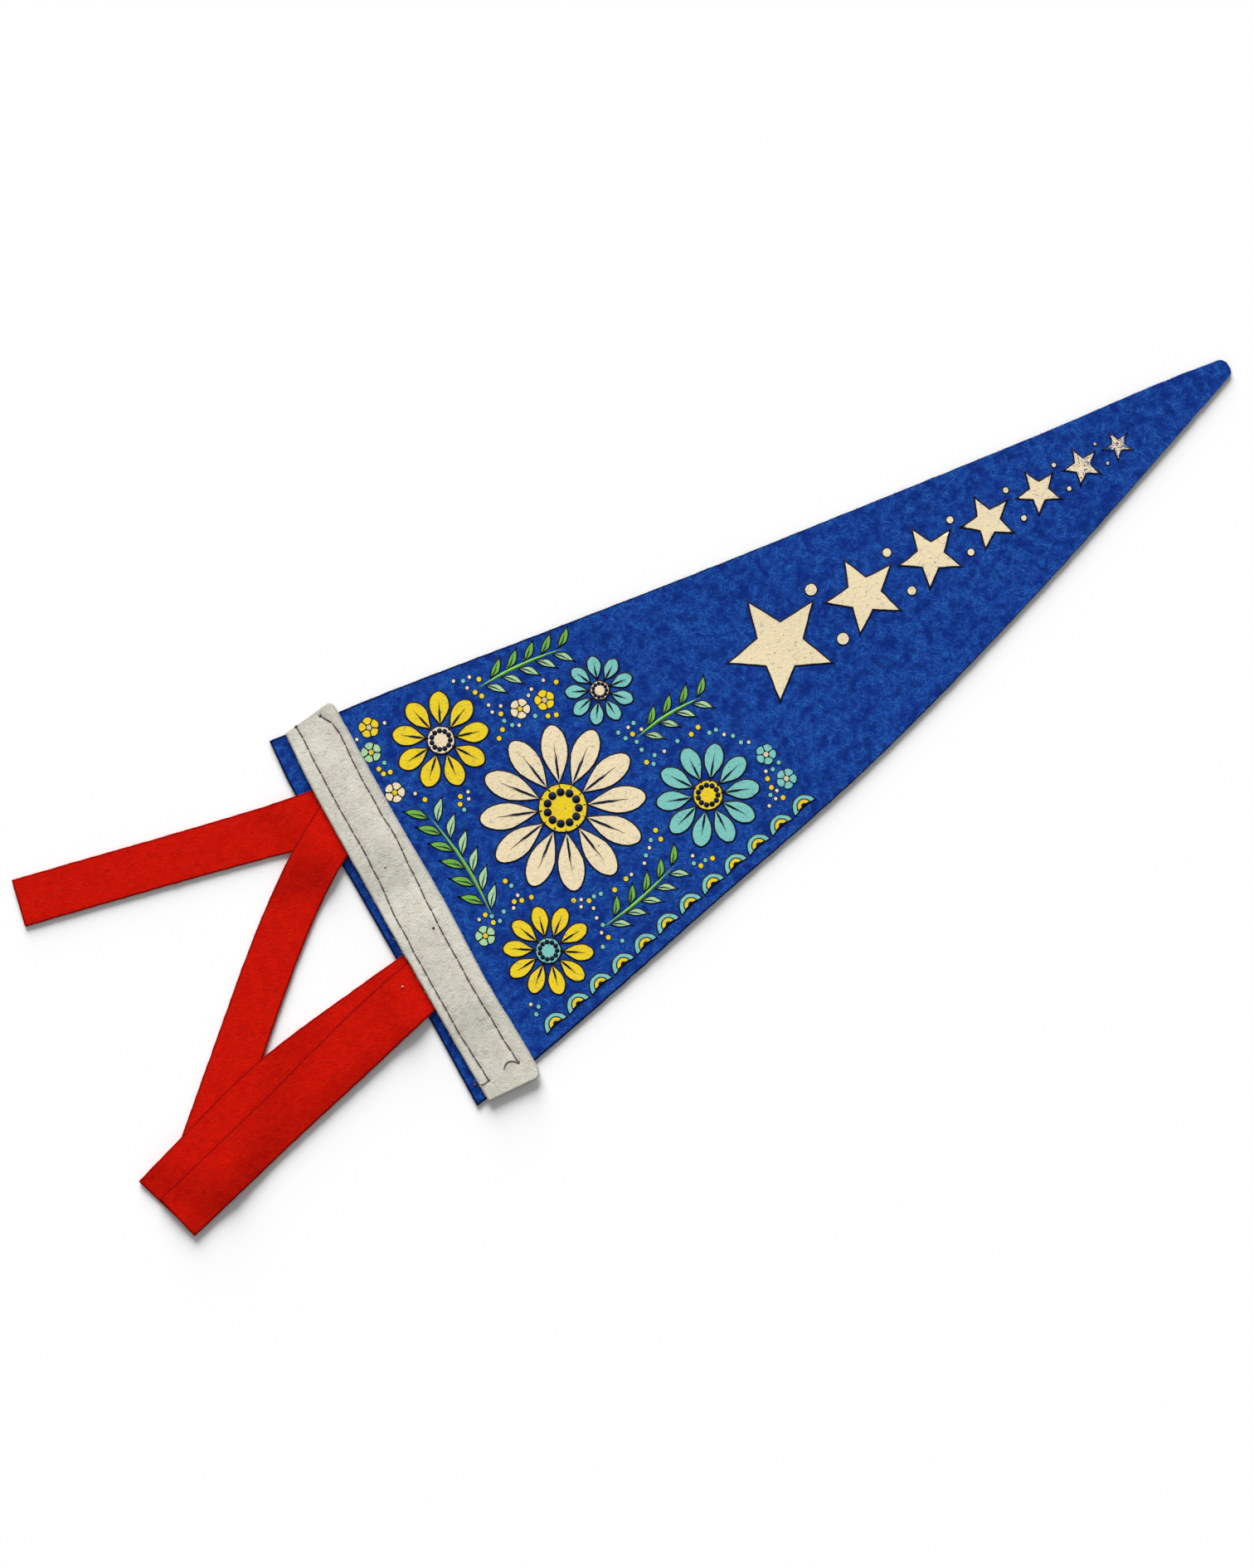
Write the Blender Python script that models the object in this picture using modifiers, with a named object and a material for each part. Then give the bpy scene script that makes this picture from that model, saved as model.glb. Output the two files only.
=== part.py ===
"""Felt pennant flag with a sewn heading strip and two folded ties, lying face up.

Run it with: blender --background --python part.py
The sizes below are in millimetres, in the pennant's own plan: X runs from the hoist to the tip, Y across
the flag, Z up from the surface that it lies on, and the zero point is at the middle of the hoist edge.
The last step moves the finished model, in metres, so that its origin is under the middle of its outline.
"""
import math

import bpy
import numpy as np
from mathutils import Vector

MM = 0.001

FELT = 1.0            # thickness of every felt piece
GAP = 0.3             # air between one piece and the next, and between the layers of a fold
LAYER = FELT + GAP    # how far one more layer lifts what lies on it

# The field: a long triangle with a small blunt tip, its edges a little bowed and wavy.
HOIST_CORNER_TOP = (3.3, 62.8)
HOIST_CORNER_LOW = (-4.3, -62.8)
# columns: x, y
TOP_EDGE = ((36.4, 56.7), (88.0, 45.9), (140.6, 34.4), (193.0, 24.2), (245.9, 13.8), (302.0, 3.3))
TIP_END = ((304.4, 2.8), (305.4, 1.4), (305.4, -1.4), (304.8, -2.5), (303.4, -2.9))
LOWER_EDGE = ((292.3, -6.1), (220.1, -25.8), (150.4, -41.5), (84.8, -51.2), (19.2, -60.6))
HOIST_EDGE = ((-2.0, -34.0), (0.5, 4.7), (1.2, 18.0), (1.1, 46.0))
OUTLINE_STEPS = 6     # straight steps that each stretch of the outline is drawn with

# The heading: a strip laid on the field beside its hoist edge, long enough to overhang it at both ends.
# columns: y, left edge x, right edge x
HEADING_SIDES = (
    (-66.0, -0.7, 17.2), (-49.3, 0.1, 18.0), (-33.0, 1.1, 18.5), (-5.4, 2.7, 21.1),
    (20.5, 4.5, 22.5), (45.2, 6.4, 24.3), (63.0, 8.7, 25.6),
)
HEADING_LOW_END = (-63.5, -66.0)    # y at the left corner and at the right one
HEADING_TOP_END = (62.1, 62.9)
HEADING_LOW_ROUND = 2.6             # radius of the right-hand corner at each end
HEADING_TOP_ROUND = 1.8
HEADING_ACROSS = (0.0, 0.18, 0.36, 0.54, 0.72, 0.86, 0.93, 0.98, 1.0)
HEADING_ALONG = 46

# The ties: each is one strip, folded over flat, its fold hidden under the heading.
# The lower tail leaves the fold first and the upper tail lies on it.
# columns of a tail: distance from the fold, bearing in degrees, width
TIES = {
    "tie_upper": {
        "fold": (12.5, 33.2),
        "lower_tail": ((0, 166.0, 15.6), (4, 166.0, 15.8), (12, 165.0, 16.0), (24, 163.0, 15.4),
                       (40, 162.8, 14.8), (104.2, 163.0, 14.6)),
        "upper_tail": ((0, 202.0, 15.6), (4, 202.0, 15.4), (10, 203.5, 15.2), (24, 209.3, 14.8),
                       (48, 215.6, 14.8), (116.0, 217.4, 15.2)),
        "buried_y": (21.0, 44.2),
    },
    "tie_lower": {
        "fold": (13.0, -20.6),
        "lower_tail": ((0, 179.0, 15.4), (4, 179.0, 15.4), (13, 181.5, 15.4), (45, 183.0, 15.4),
                       (62, 186.0, 15.4), (80, 192.0, 15.4), (115.0, 193.0, 15.4)),
        "upper_tail": ((0, 195.0, 15.4), (4, 195.0, 15.4), (13, 189.5, 16.4), (35, 190.5, 16.9),
                       (75, 190.8, 15.4), (113.8, 190.0, 15.4)),
        "buried_y": (-32.2, -11.2),
    },
}
TIE_ACROSS = 6
FOLD_RADIUS = LAYER / 2             # radius of the strip's middle surface as it turns over
FOLD_STEPS = 4                      # steps in each quarter of that turn
SKEW_LENGTH = 13.0                  # beyond this the rows of a tie stop slanting with its fold
NEAR_STEP = 2.2                     # spacing of the rows near the hoist, where the tie comes down
FAR_STEP = 4.4                      # and further out
NEAR_LENGTH = 34.0

FLAT_SHOULDER = 0.8                 # cloth stays level this far past an edge that it lies on
HOIST_RAMP = 9.0                    # then comes down over this distance off the field
STRIP_RAMP = 6.5                    # or off another strip
HEADING_RAMP = 6.0                  # and the heading over this one, off the buried folds


def smooth(rows, x, column=1):
    """The smooth curve through a table's rows: value of one column at x, which is its first column."""
    xs = [row[0] for row in rows]
    ys = [row[column] for row in rows]
    i = min(max(int(np.searchsorted(xs, x)) - 1, 0), len(xs) - 2)
    slopes = [(ys[k + 1] - ys[k]) / (xs[k + 1] - xs[k]) for k in range(len(xs) - 1)]
    start = (slopes[max(i - 1, 0)] + slopes[i]) / 2
    end = (slopes[i] + slopes[min(i + 1, len(slopes) - 1)]) / 2
    span = xs[i + 1] - xs[i]
    t = min(max((x - xs[i]) / span, 0.0), 1.0)
    rise = ys[i + 1] - ys[i]
    return (ys[i] + span * start * t
            + (3 * rise - span * (2 * start + end)) * t ** 2
            + (span * (start + end) - 2 * rise) * t ** 3)


def fall(distance, ramp):
    """1 up to the shoulder past an edge, then a soft S-curve down to 0."""
    t = min(max((distance - FLAT_SHOULDER) / ramp, 0.0), 1.0)
    return 1.0 - t * t * (3.0 - 2.0 * t)


def hoist_x(y):
    """X of the field's hoist edge at that height."""
    rows = sorted((point[1], point[0]) for point in (HOIST_CORNER_LOW, *HOIST_EDGE, HOIST_CORNER_TOP))
    return smooth(rows, y)


def ground(x, y):
    """Height under a tie where nothing but the field is beneath: on its margin, or down on the surface."""
    return LAYER * fall(hoist_x(y) - x, HOIST_RAMP)


class Tail:
    """One tail of a tie: a strip whose middle line follows bearings from the fold outwards."""

    STEP = 1.0

    def __init__(self, fold, rows):
        self.rows = rows
        self.length = rows[-1][0]
        self.points = [Vector(fold)]
        for k in range(math.ceil(self.length / self.STEP)):
            self.points.append(self.points[-1] + self.heading((k + 0.5) * self.STEP) * self.STEP)

    def heading(self, distance):
        """Direction of the middle line at that distance."""
        bearing = math.radians(smooth(self.rows, distance))
        return Vector((math.cos(bearing), math.sin(bearing)))

    def side(self, distance):
        """Direction across the strip. Turning the strip over swaps its sides, so both tails share one."""
        ahead = self.heading(distance)
        return Vector((ahead.y, -ahead.x))

    def half_width(self, distance):
        return smooth(self.rows, distance, 2) / 2

    def place(self, distance, offset):
        """Plan position of a point on the strip."""
        k = min(max(int(distance / self.STEP), 0), len(self.points) - 1)
        start = self.points[k]
        return start + self.heading(distance) * (distance - k * self.STEP) + self.side(distance) * offset

    def outside(self, x, y):
        """How far a plan position is outside the strip, or a negative number inside it."""
        here = Vector((x, y))
        k = min(range(len(self.points)), key=lambda n: (self.points[n] - here).length_squared)
        distance = min(k * self.STEP, self.length)
        away = here - self.points[k]
        past_side = abs(away.dot(self.side(distance))) - self.half_width(distance)
        past_end = away.dot(self.heading(distance)) if k == len(self.points) - 1 else -FLAT_SHOULDER
        return max(past_side, past_end)


def plan_ties():
    """The four tails, by tie and level."""
    return {
        name: (Tail(tie["fold"], tie["lower_tail"]), Tail(tie["fold"], tie["upper_tail"]))
        for name, tie in TIES.items()
    }


def tie_height(tails, name, level, x, y):
    """Height of a tail's underside: each layer beneath it lifts it, and it comes down past their edges."""
    height = ground(x, y)
    if name == "tie_lower":
        height += LAYER * fall(tails["tie_upper"][1].outside(x, y), STRIP_RAMP)
    if level == 1:
        height += LAYER * fall(tails[name][0].outside(x, y), STRIP_RAMP)
    return height


def tie_rows(lower, upper, lean):
    """Distances along a tie, from the lower tail's end through the fold, at 0, to the upper tail's end."""
    quarter = math.pi * FOLD_RADIUS / 2 / lean
    turn = [quarter * k / FOLD_STEPS for k in range(1, FOLD_STEPS + 1)]

    def outward(length):
        distances = list(turn)
        while distances[-1] < NEAR_LENGTH:
            distances.append(distances[-1] + NEAR_STEP)
        steps = math.ceil((length - distances[-1]) / FAR_STEP)
        return distances + [distances[-1] + (length - distances[-1]) * k / steps for k in range(1, steps + 1)]

    return [-d for d in reversed(outward(lower.length))] + [0.0] + outward(upper.length)


def felt_material(name, colour):
    material = bpy.data.materials.new(name)
    material.use_nodes = True
    shader = material.node_tree.nodes["Principled BSDF"]
    shader.inputs["Base Color"].default_value = (*colour, 1.0)
    shader.inputs["Roughness"].default_value = 0.95
    shader.inputs["Metallic"].default_value = 0.0
    return material


def finish(piece, name, material, collection):
    """Names a piece, gives it its felt and puts it in the model's collection."""
    piece.name = name
    piece.data.name = name
    piece.data.materials.append(material)
    for holder in list(piece.users_collection):
        holder.objects.unlink(piece)
    collection.objects.link(piece)
    return piece


def felt_sheet(columns, rows, place, offset):
    """A grid whose points go where place(column, row) says, given the felt's thickness by Solidify.
    An offset of 1 thickens it upwards, and 0 to both sides."""
    bpy.ops.mesh.primitive_grid_add(x_subdivisions=columns, y_subdivisions=rows, size=1.0)
    sheet = bpy.context.object
    for vertex in sheet.data.vertices:
        column = round((vertex.co.x + 0.5) * columns)
        row = round((vertex.co.y + 0.5) * rows)
        vertex.co = Vector(place(column, row)) * MM
    sheet.data.shade_smooth()
    felt = sheet.modifiers.new("felt thickness", "SOLIDIFY")
    felt.thickness = FELT * MM
    felt.offset = offset
    felt.use_even_offset = True
    return sheet


def make_field():
    """The field is a flat outline: smooth between its points, sharp at the two hoist corners."""
    corners = (HOIST_CORNER_TOP, HOIST_CORNER_LOW)
    outline = (HOIST_CORNER_TOP, *TOP_EDGE, *TIP_END, *LOWER_EDGE, HOIST_CORNER_LOW, *HOIST_EDGE)
    curve = bpy.data.curves.new("felt_field", "CURVE")
    curve.dimensions = "2D"
    curve.fill_mode = "BOTH"
    curve.extrude = FELT * MM / 2
    curve.resolution_u = OUTLINE_STEPS
    spline = curve.splines.new("BEZIER")
    spline.bezier_points.add(len(outline) - 1)
    for point, (x, y) in zip(spline.bezier_points, outline):
        point.co = (x * MM, y * MM, 0.0)
        handle = "VECTOR" if (x, y) in corners else "AUTO"
        point.handle_left_type = handle
        point.handle_right_type = handle
    spline.use_cyclic_u = True
    field = bpy.data.objects.new("felt_field", curve)
    field.location.z = FELT * MM / 2
    return field


def make_heading():
    """The heading lies on the field and rises over the two buried folds."""

    def underside(x, y):
        height = LAYER
        for tie in TIES.values():
            low, high = tie["buried_y"]
            past_side = max(low - y, y - high)
            past_fold = x - (tie["fold"][0] + FOLD_RADIUS + FELT / 2)
            height += 2 * LAYER * fall(past_side, HEADING_RAMP) * fall(past_fold, HEADING_RAMP)
        return height

    def rounded(across, width, radius):
        """How much of the strip's length the rounded right-hand corner takes off there."""
        reach = min(max(across * width - (width - radius), 0.0), radius)
        return radius - math.sqrt(radius ** 2 - reach ** 2)

    def place(column, row):
        across = HEADING_ACROSS[column]
        along = row / HEADING_ALONG
        width = HEADING_SIDES[0][2] - HEADING_SIDES[0][1]
        low = HEADING_LOW_END[0] + (HEADING_LOW_END[1] - HEADING_LOW_END[0]) * across
        high = HEADING_TOP_END[0] + (HEADING_TOP_END[1] - HEADING_TOP_END[0]) * across
        low += rounded(across, width, HEADING_LOW_ROUND)
        high -= rounded(across, width, HEADING_TOP_ROUND)
        y = low + (high - low) * along
        left = smooth(HEADING_SIDES, y, 1)
        right = smooth(HEADING_SIDES, y, 2)
        x = left + (right - left) * across
        return x, y, underside(x, y)

    return felt_sheet(len(HEADING_ACROSS) - 1, HEADING_ALONG, place, offset=1)


def make_tie(tails, name):
    """One strip: out along the lower tail, turned over at the fold, and out again on top of it."""
    lower, upper = tails[name]
    fold_out = (lower.heading(0) + upper.heading(0)).normalized()
    lean = upper.heading(0).dot(fold_out)
    slant = upper.side(0).dot(fold_out)
    rows = tie_rows(lower, upper, lean)
    quarter = math.pi * FOLD_RADIUS / 2

    def place(column, row):
        across = 2 * column / TIE_ACROSS - 1
        station = rows[row]
        tail = upper if station > 0 else lower
        offset = across * tail.half_width(abs(station))
        along = station - offset * slant / lean * fall(abs(station), SKEW_LENGTH)
        from_fold = along * lean + offset * slant
        level = 1 if from_fold > 0 else 0
        spot = (upper if level else lower).place(along if level else -along, offset)
        angle = max(-1.0, min(1.0, from_fold / quarter)) * math.pi / 2
        spot -= fold_out * (min(abs(from_fold), quarter) + FOLD_RADIUS * math.cos(angle))
        x, y = spot
        if abs(from_fold) < quarter:
            height = tie_height(tails, name, 0, x, y) + FOLD_RADIUS * (1 + math.sin(angle))
        else:
            height = tie_height(tails, name, level, x, y)
        return x, y, height + FELT / 2

    return felt_sheet(TIE_ACROSS, len(rows) - 1, place, offset=0)


def stand_on_origin(pieces):
    """Moves the pieces together so that the origin is under the middle of the whole outline."""
    bpy.context.view_layer.update()
    graph = bpy.context.evaluated_depsgraph_get()
    corners = []
    for piece in pieces:
        evaluated = piece.evaluated_get(graph)
        mesh = evaluated.to_mesh()
        corners += [piece.matrix_world @ vertex.co for vertex in mesh.vertices]
        evaluated.to_mesh_clear()
    lowest = np.min(corners, axis=0)
    highest = np.max(corners, axis=0)
    shift = Vector((-(lowest[0] + highest[0]) / 2, -(lowest[1] + highest[1]) / 2, -lowest[2]))
    for piece in pieces:
        piece.location += shift


def main():
    for old in list(bpy.data.objects):
        bpy.data.objects.remove(old, do_unlink=True)
    model = bpy.data.collections.new("felt pennant flag")
    bpy.context.scene.collection.children.link(model)

    tails = plan_ties()
    red = felt_material("red felt", (0.60, 0.010, 0.005))
    pieces = [
        finish(make_field(), "felt_field", felt_material("blue felt", (0.008, 0.035, 0.24)), model),
        finish(make_heading(), "heading", felt_material("grey felt", (0.61, 0.59, 0.52)), model),
    ]
    pieces += [finish(make_tie(tails, name), name, red, model) for name in TIES]
    stand_on_origin(pieces)


main()
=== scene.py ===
# %% [markdown]
# # Felt pennant flag with ties
# This lesson dresses a finished model of a small felt pennant. The real one is a long blue triangle of wool
# felt with a printed design, a grey-beige strip sewn over its hoist end, and two folded red felt ties
# caught under that strip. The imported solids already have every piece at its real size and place. Here each
# of them gets its finer surface, its sewing, its ink and its fibres.

import math

import bpy
import numpy as np
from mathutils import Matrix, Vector


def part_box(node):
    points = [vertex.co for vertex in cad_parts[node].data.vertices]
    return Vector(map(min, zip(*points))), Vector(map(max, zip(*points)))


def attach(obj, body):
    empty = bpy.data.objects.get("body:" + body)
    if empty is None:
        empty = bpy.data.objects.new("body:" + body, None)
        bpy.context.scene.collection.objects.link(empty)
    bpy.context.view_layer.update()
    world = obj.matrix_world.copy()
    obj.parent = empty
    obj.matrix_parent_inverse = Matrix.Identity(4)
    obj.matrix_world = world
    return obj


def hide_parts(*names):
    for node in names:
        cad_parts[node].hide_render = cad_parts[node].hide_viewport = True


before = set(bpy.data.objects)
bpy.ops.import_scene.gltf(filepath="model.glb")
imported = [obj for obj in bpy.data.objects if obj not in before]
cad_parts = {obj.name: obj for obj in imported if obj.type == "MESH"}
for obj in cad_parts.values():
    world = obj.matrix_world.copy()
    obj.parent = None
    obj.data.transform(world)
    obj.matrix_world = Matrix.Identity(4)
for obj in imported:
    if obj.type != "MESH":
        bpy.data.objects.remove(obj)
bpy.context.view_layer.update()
MM = 0.001

# %% [markdown]
# The flag is laid out in its own plan, in millimetres: X runs from the hoist to the tip, Y across the flag,
# Z up from the table, and the zero point is at the middle of the hoist edge. The solids stand with their
# origin under the middle of the whole outline, so one shift, read from the field's own box, takes a place
# in the plan to a place in the frame.

# %% From the plan to the frame
HOIST_CORNER_TOP = (3.3, 62.8)
HOIST_CORNER_LOW = (-4.3, -62.8)
FIELD_LOW, FIELD_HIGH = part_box("felt_field")
PLAN_SHIFT = np.array([FIELD_LOW.x - HOIST_CORNER_LOW[0] * MM, FIELD_HIGH.y - HOIST_CORNER_TOP[1] * MM, 0.0])


def to_frame(x, y, z):
    """Plan positions in millimetres, as points of the frame in metres."""
    return np.stack(np.broadcast_arrays(x, y, z), -1).astype(float) * MM + PLAN_SHIFT


print("plan to frame, in mm:", (PLAN_SHIFT / MM).round(2))

# %% [markdown]
# The picture is taken from straight above, with the flag turned so that its tip points up to the right.
# The camera is high over the table with a long lens, so that the flag keeps its true proportions from edge
# to edge. The lens is worked out from how much of the table the long side of the picture shows.

# %% Camera, straight above
VIEW_CENTRE = (86.0, -6.5)      # plan, at the middle of the picture
VIEW_LENGTH = 0.4699            # metres of table along the picture's long side
VIEW_HEIGHT = 1.5
VIEW_TURN = math.radians(-33.13)
SENSOR = 36.0

camera_data = bpy.data.cameras.new("camera above")
camera_data.sensor_width = SENSOR
camera_data.lens = SENSOR * VIEW_HEIGHT / VIEW_LENGTH
camera = bpy.data.objects.new("camera above", camera_data)
camera.location = Vector(to_frame(*VIEW_CENTRE, 0.0)) + Vector((0, 0, VIEW_HEIGHT))
camera.rotation_euler = (0.0, 0.0, VIEW_TURN)
bpy.context.scene.collection.objects.link(camera)
bpy.context.scene.camera = camera
print("lens of", round(camera_data.lens, 1), "mm from", VIEW_HEIGHT, "m above")

# %% [markdown]
# The table is plain and nearly white. The light is that of a small studio: an even white room, and one
# broad soft lamp low down beyond the picture's upper edge. A low lamp makes a sheet only 1 mm thick throw a
# short soft shadow on the far side of each edge, which is what shows that it is a sheet and not a drawing.

# %% Table and light
FLOOR_SIZE = 5.0
ROOM_LIGHT = 0.31
LAMP_STRENGTH = 6.4
LAMP_HEIGHT = math.radians(22.0)      # above the table
LAMP_SOFTNESS = math.radians(38.0)
LAMP_FROM = Vector((0.36, 0.93))      # plan direction towards the lamp

bpy.ops.object.select_all(action="DESELECT")
bpy.ops.mesh.primitive_plane_add(size=FLOOR_SIZE, location=(0, 0, 0))
floor = bpy.context.object
floor.name = "table_top"

floor_paint = bpy.data.materials.new("table paint")
floor_paint.use_nodes = True
floor_shader = floor_paint.node_tree.nodes["Principled BSDF"]
floor_shader.inputs["Base Color"].default_value = (0.93, 0.93, 0.93, 1.0)
floor_shader.inputs["Roughness"].default_value = 0.9
floor_shader.inputs["Specular IOR Level"].default_value = 0.1
floor.data.materials.append(floor_paint)

world = bpy.data.worlds.new("studio room")
world.use_nodes = True
world.node_tree.nodes["Background"].inputs["Color"].default_value = (1.0, 1.0, 1.0, 1.0)
world.node_tree.nodes["Background"].inputs["Strength"].default_value = ROOM_LIGHT
bpy.context.scene.world = world

lamp_data = bpy.data.lights.new("soft lamp", "SUN")
lamp_data.energy = LAMP_STRENGTH
lamp_data.angle = LAMP_SOFTNESS
lamp = bpy.data.objects.new("soft lamp", lamp_data)
lamp_way = Vector((*LAMP_FROM.normalized() * math.cos(LAMP_HEIGHT), math.sin(LAMP_HEIGHT)))
lamp.rotation_euler = lamp_way.to_track_quat("Z", "Y").to_euler()
bpy.context.scene.collection.objects.link(lamp)
bpy.context.scene.view_settings.view_transform = "Standard"
print("lamp at", round(math.degrees(LAMP_HEIGHT)), "degrees above the table")

# %% [markdown]
# Felt has no weave: it is a mat of short wool fibres that lie in all directions. Two small helpers draw
# its shapes. A smooth curve through a short table of measured rows gives an outline, and a sum of a few
# waves in odd directions gives the slow unevenness of cloth that has been handled.

# %% Curves and waves
def smooth(rows, x, column=1):
    """The smooth curve through a table's rows: values of one column at x, which is its first column."""
    table = np.array(rows, float)
    xs, ys = table[:, 0], table[:, column]
    x = np.clip(x, xs[0], xs[-1])
    slopes = np.diff(ys) / np.diff(xs)
    tangents = np.concatenate([slopes[:1], (slopes[1:] + slopes[:-1]) / 2, slopes[-1:]])
    i = np.clip(np.searchsorted(xs, x) - 1, 0, len(xs) - 2)
    span = xs[i + 1] - xs[i]
    t = (x - xs[i]) / span
    return ((2 * t**3 - 3 * t**2 + 1) * ys[i] + (t**3 - 2 * t**2 + t) * span * tangents[i]
            + (3 * t**2 - 2 * t**3) * ys[i + 1] + (t**3 - t**2) * span * tangents[i + 1])


def ease(x, low, high):
    """0 below low, 1 above high, and a soft S-curve between."""
    t = np.clip((x - low) / (high - low), 0.0, 1.0)
    return t * t * (3.0 - 2.0 * t)


def waves(x, y, length, seed, count=6):
    """A soft uneven surface between about -1 and 1, with waves of about that length, in millimetres."""
    draw = np.random.default_rng(seed)
    total = np.zeros(np.broadcast(x, y).shape)
    for _ in range(count):
        way = draw.uniform(0, math.tau)
        turns = math.tau / (length * draw.uniform(0.7, 1.4))
        total += np.sin((x * math.cos(way) + y * math.sin(way)) * turns + draw.uniform(0, math.tau))
    return total / math.sqrt(count * 2)


print("a wave sample:", waves(np.arange(4.0), 0.0, 20.0, seed=1).round(2))

# %% [markdown]
# Every felt piece starts as one grid primitive. Its points are set out by a function of the plan, because a
# felt strip is cut flat and then laid or folded, and a grid keeps its rows and columns through that. The
# felt's thickness comes from Solidify, and a narrow Bevel softens the cut edges, as scissors leave them.
# Rows and columns are closer together beside an edge, which holds the rounding in a narrow band. Each
# point also keeps a mark that says whether it is on a cut edge, for the material to read.

# %% Making a felt sheet
FELT = 1.0             # thickness
GAP = 0.3              # air between one piece and the next, and between the layers of a fold
LAYER = FELT + GAP     # how far one more layer lifts what lies on it
EDGE_ROUND = 0.32      # bevel along the cut edges
EDGE_BAND = 0.80       # width of the first cells beside a cut edge
CUT_WAVER = 0.06       # how far the scissors stray


def spaced(length, step, band=EDGE_BAND):
    """Distances from 0 to length, about a step apart, with one narrow band at each end."""
    inner = np.linspace(band, length - band, max(2, math.ceil((length - 2 * band) / step) + 1))
    return np.concatenate([[0.0], inner, [length]])


def select_only(piece):
    """Makes one object the only one selected, and the active one."""
    bpy.ops.object.select_all(action="DESELECT")
    piece.select_set(True)
    bpy.context.view_layer.objects.active = piece


def points_of(piece):
    """All of a mesh's points, as an array."""
    points = np.zeros(len(piece.data.vertices) * 3, np.float32)
    piece.data.vertices.foreach_get("co", points)
    return points.reshape(-1, 3).astype(float)


def set_points(piece, points):
    """Moves all of a mesh's points at once."""
    piece.data.vertices.foreach_set("co", np.asarray(points, np.float32).ravel())
    piece.data.update()


def mark(piece, name, values):
    """Keeps one number for each point of a mesh, for a material to read."""
    attribute = piece.data.attributes.new(name, "FLOAT", "POINT")
    attribute.data.foreach_set("value", np.asarray(values, np.float32))


def apply_all(piece):
    """Applies a piece's modifiers in their order."""
    select_only(piece)
    for name in [modifier.name for modifier in piece.modifiers]:
        bpy.ops.object.modifier_apply(modifier=name)


def felt_sheet(name, points, side, thinness=None):
    """A felt piece from an array of its points, columns by rows. A side of 1 thickens it upwards, 0 to both.
    Thinness is the share of the felt's thickness that is left at each point, where it is pressed."""
    columns, rows = points.shape[0] - 1, points.shape[1] - 1
    bpy.ops.object.select_all(action="DESELECT")
    bpy.ops.mesh.primitive_grid_add(x_subdivisions=columns, y_subdivisions=rows, size=1.0)
    sheet = bpy.context.object
    sheet.name = name
    sheet.data.name = name
    flat = points_of(sheet)
    column = np.rint((flat[:, 0] + 0.5) * columns).astype(int)
    row = np.rint((flat[:, 1] + 0.5) * rows).astype(int)
    set_points(sheet, points[column, row])
    mark(sheet, "cut_edge", (column % columns == 0) | (row % rows == 0))
    solid = sheet.modifiers.new("felt thickness", "SOLIDIFY")
    solid.thickness = FELT * MM
    solid.offset = side
    solid.use_even_offset = True
    if thinness is not None:
        pressed = sheet.vertex_groups.new(name="pressed")
        for index, share in enumerate(thinness[column, row]):
            pressed.add([index], float(share), "REPLACE")
        solid.vertex_group = pressed.name
    bevel = sheet.modifiers.new("soft cut edges", "BEVEL")
    bevel.width = EDGE_ROUND * MM
    bevel.segments = 2
    bevel.limit_method = "ANGLE"
    bevel.angle_limit = math.radians(60.0)
    apply_all(sheet)
    sheet.data.shade_smooth()
    return sheet


print("narrow bands at both ends:", spaced(6.0, 2.0))

# %% [markdown]
# The field is cut from blue felt as one long triangle with a small round tip. Its edges bow and waver a
# little, as a cloth cutter leaves them, so the top and lower edges are tables of measured points. The sheet
# lies almost flat: it lifts off the table by less than half a millimetre in slow waves, and it is level
# under the heading, where the sewing holds it down.

# %% The field
# columns: x, y
TOP_EDGE = ((3.3, 62.8), (36.4, 56.7), (88.0, 45.6), (140.6, 34.5), (193.0, 24.1), (220.0, 18.8),
            (245.9, 13.8), (302.0, 3.3), (304.4, 2.6), (305.4, 1.2))
LOWER_EDGE = ((-4.3, -62.8), (19.2, -60.6), (84.8, -51.2), (150.4, -41.5), (220.1, -25.8), (292.3, -6.1),
              (303.4, -2.9), (304.8, -2.3), (305.4, -1.2))
HOIST_EDGE = ((-62.8, -4.3), (-34.0, -2.0), (4.7, 0.5), (18.0, 1.2), (46.0, 1.1), (62.8, 3.3))  # y, x
HOIST_WIDTH = 125.6
HOIST_REACH = 70.0      # the columns slant with the hoist edge up to here
TIP_CELLS = (302.0, 303.0, 303.8, 304.4, 304.8, 305.1, 305.3, 305.4)
FIELD_STEP = 1.35
FIELD_LIFT = 0.40
LEVEL_UNTIL = 34.0      # the field is held down to the table up to here
FREE_FROM = 74.0        # and it lies free from here on


def field_lift(x, y):
    """How far the field's underside is off the table, in millimetres."""
    free = ease(x, LEVEL_UNTIL, FREE_FROM)
    return FIELD_LIFT * free * (0.5 + 0.5 * waves(x, y, 62.0, seed=11)).clip(0.0, 1.3)


def field_points():
    """The field's sheet: columns from hoist to tip, rows from the lower edge to the top one."""
    stations = np.concatenate([spaced(TIP_CELLS[0], FIELD_STEP)[:-2], TIP_CELLS])
    across = spaced(HOIST_WIDTH, FIELD_STEP) / HOIST_WIDTH
    x = np.repeat(stations[:, None], len(across), axis=1)
    for _ in range(4):
        low, top = smooth(LOWER_EDGE, x), smooth(TOP_EDGE, x)
        y = low + (top - low) * across
        x = stations[:, None] + smooth(HOIST_EDGE, y) * (1 - ease(stations, 0.0, HOIST_REACH))[:, None]
    edge = np.abs(2 * across - 1) ** 24
    y = y + edge * CUT_WAVER * waves(x, y, 9.0, seed=3) * (1 - ease(x, 296.0, 302.0))
    return to_frame(x, y, field_lift(x, y))


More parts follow.
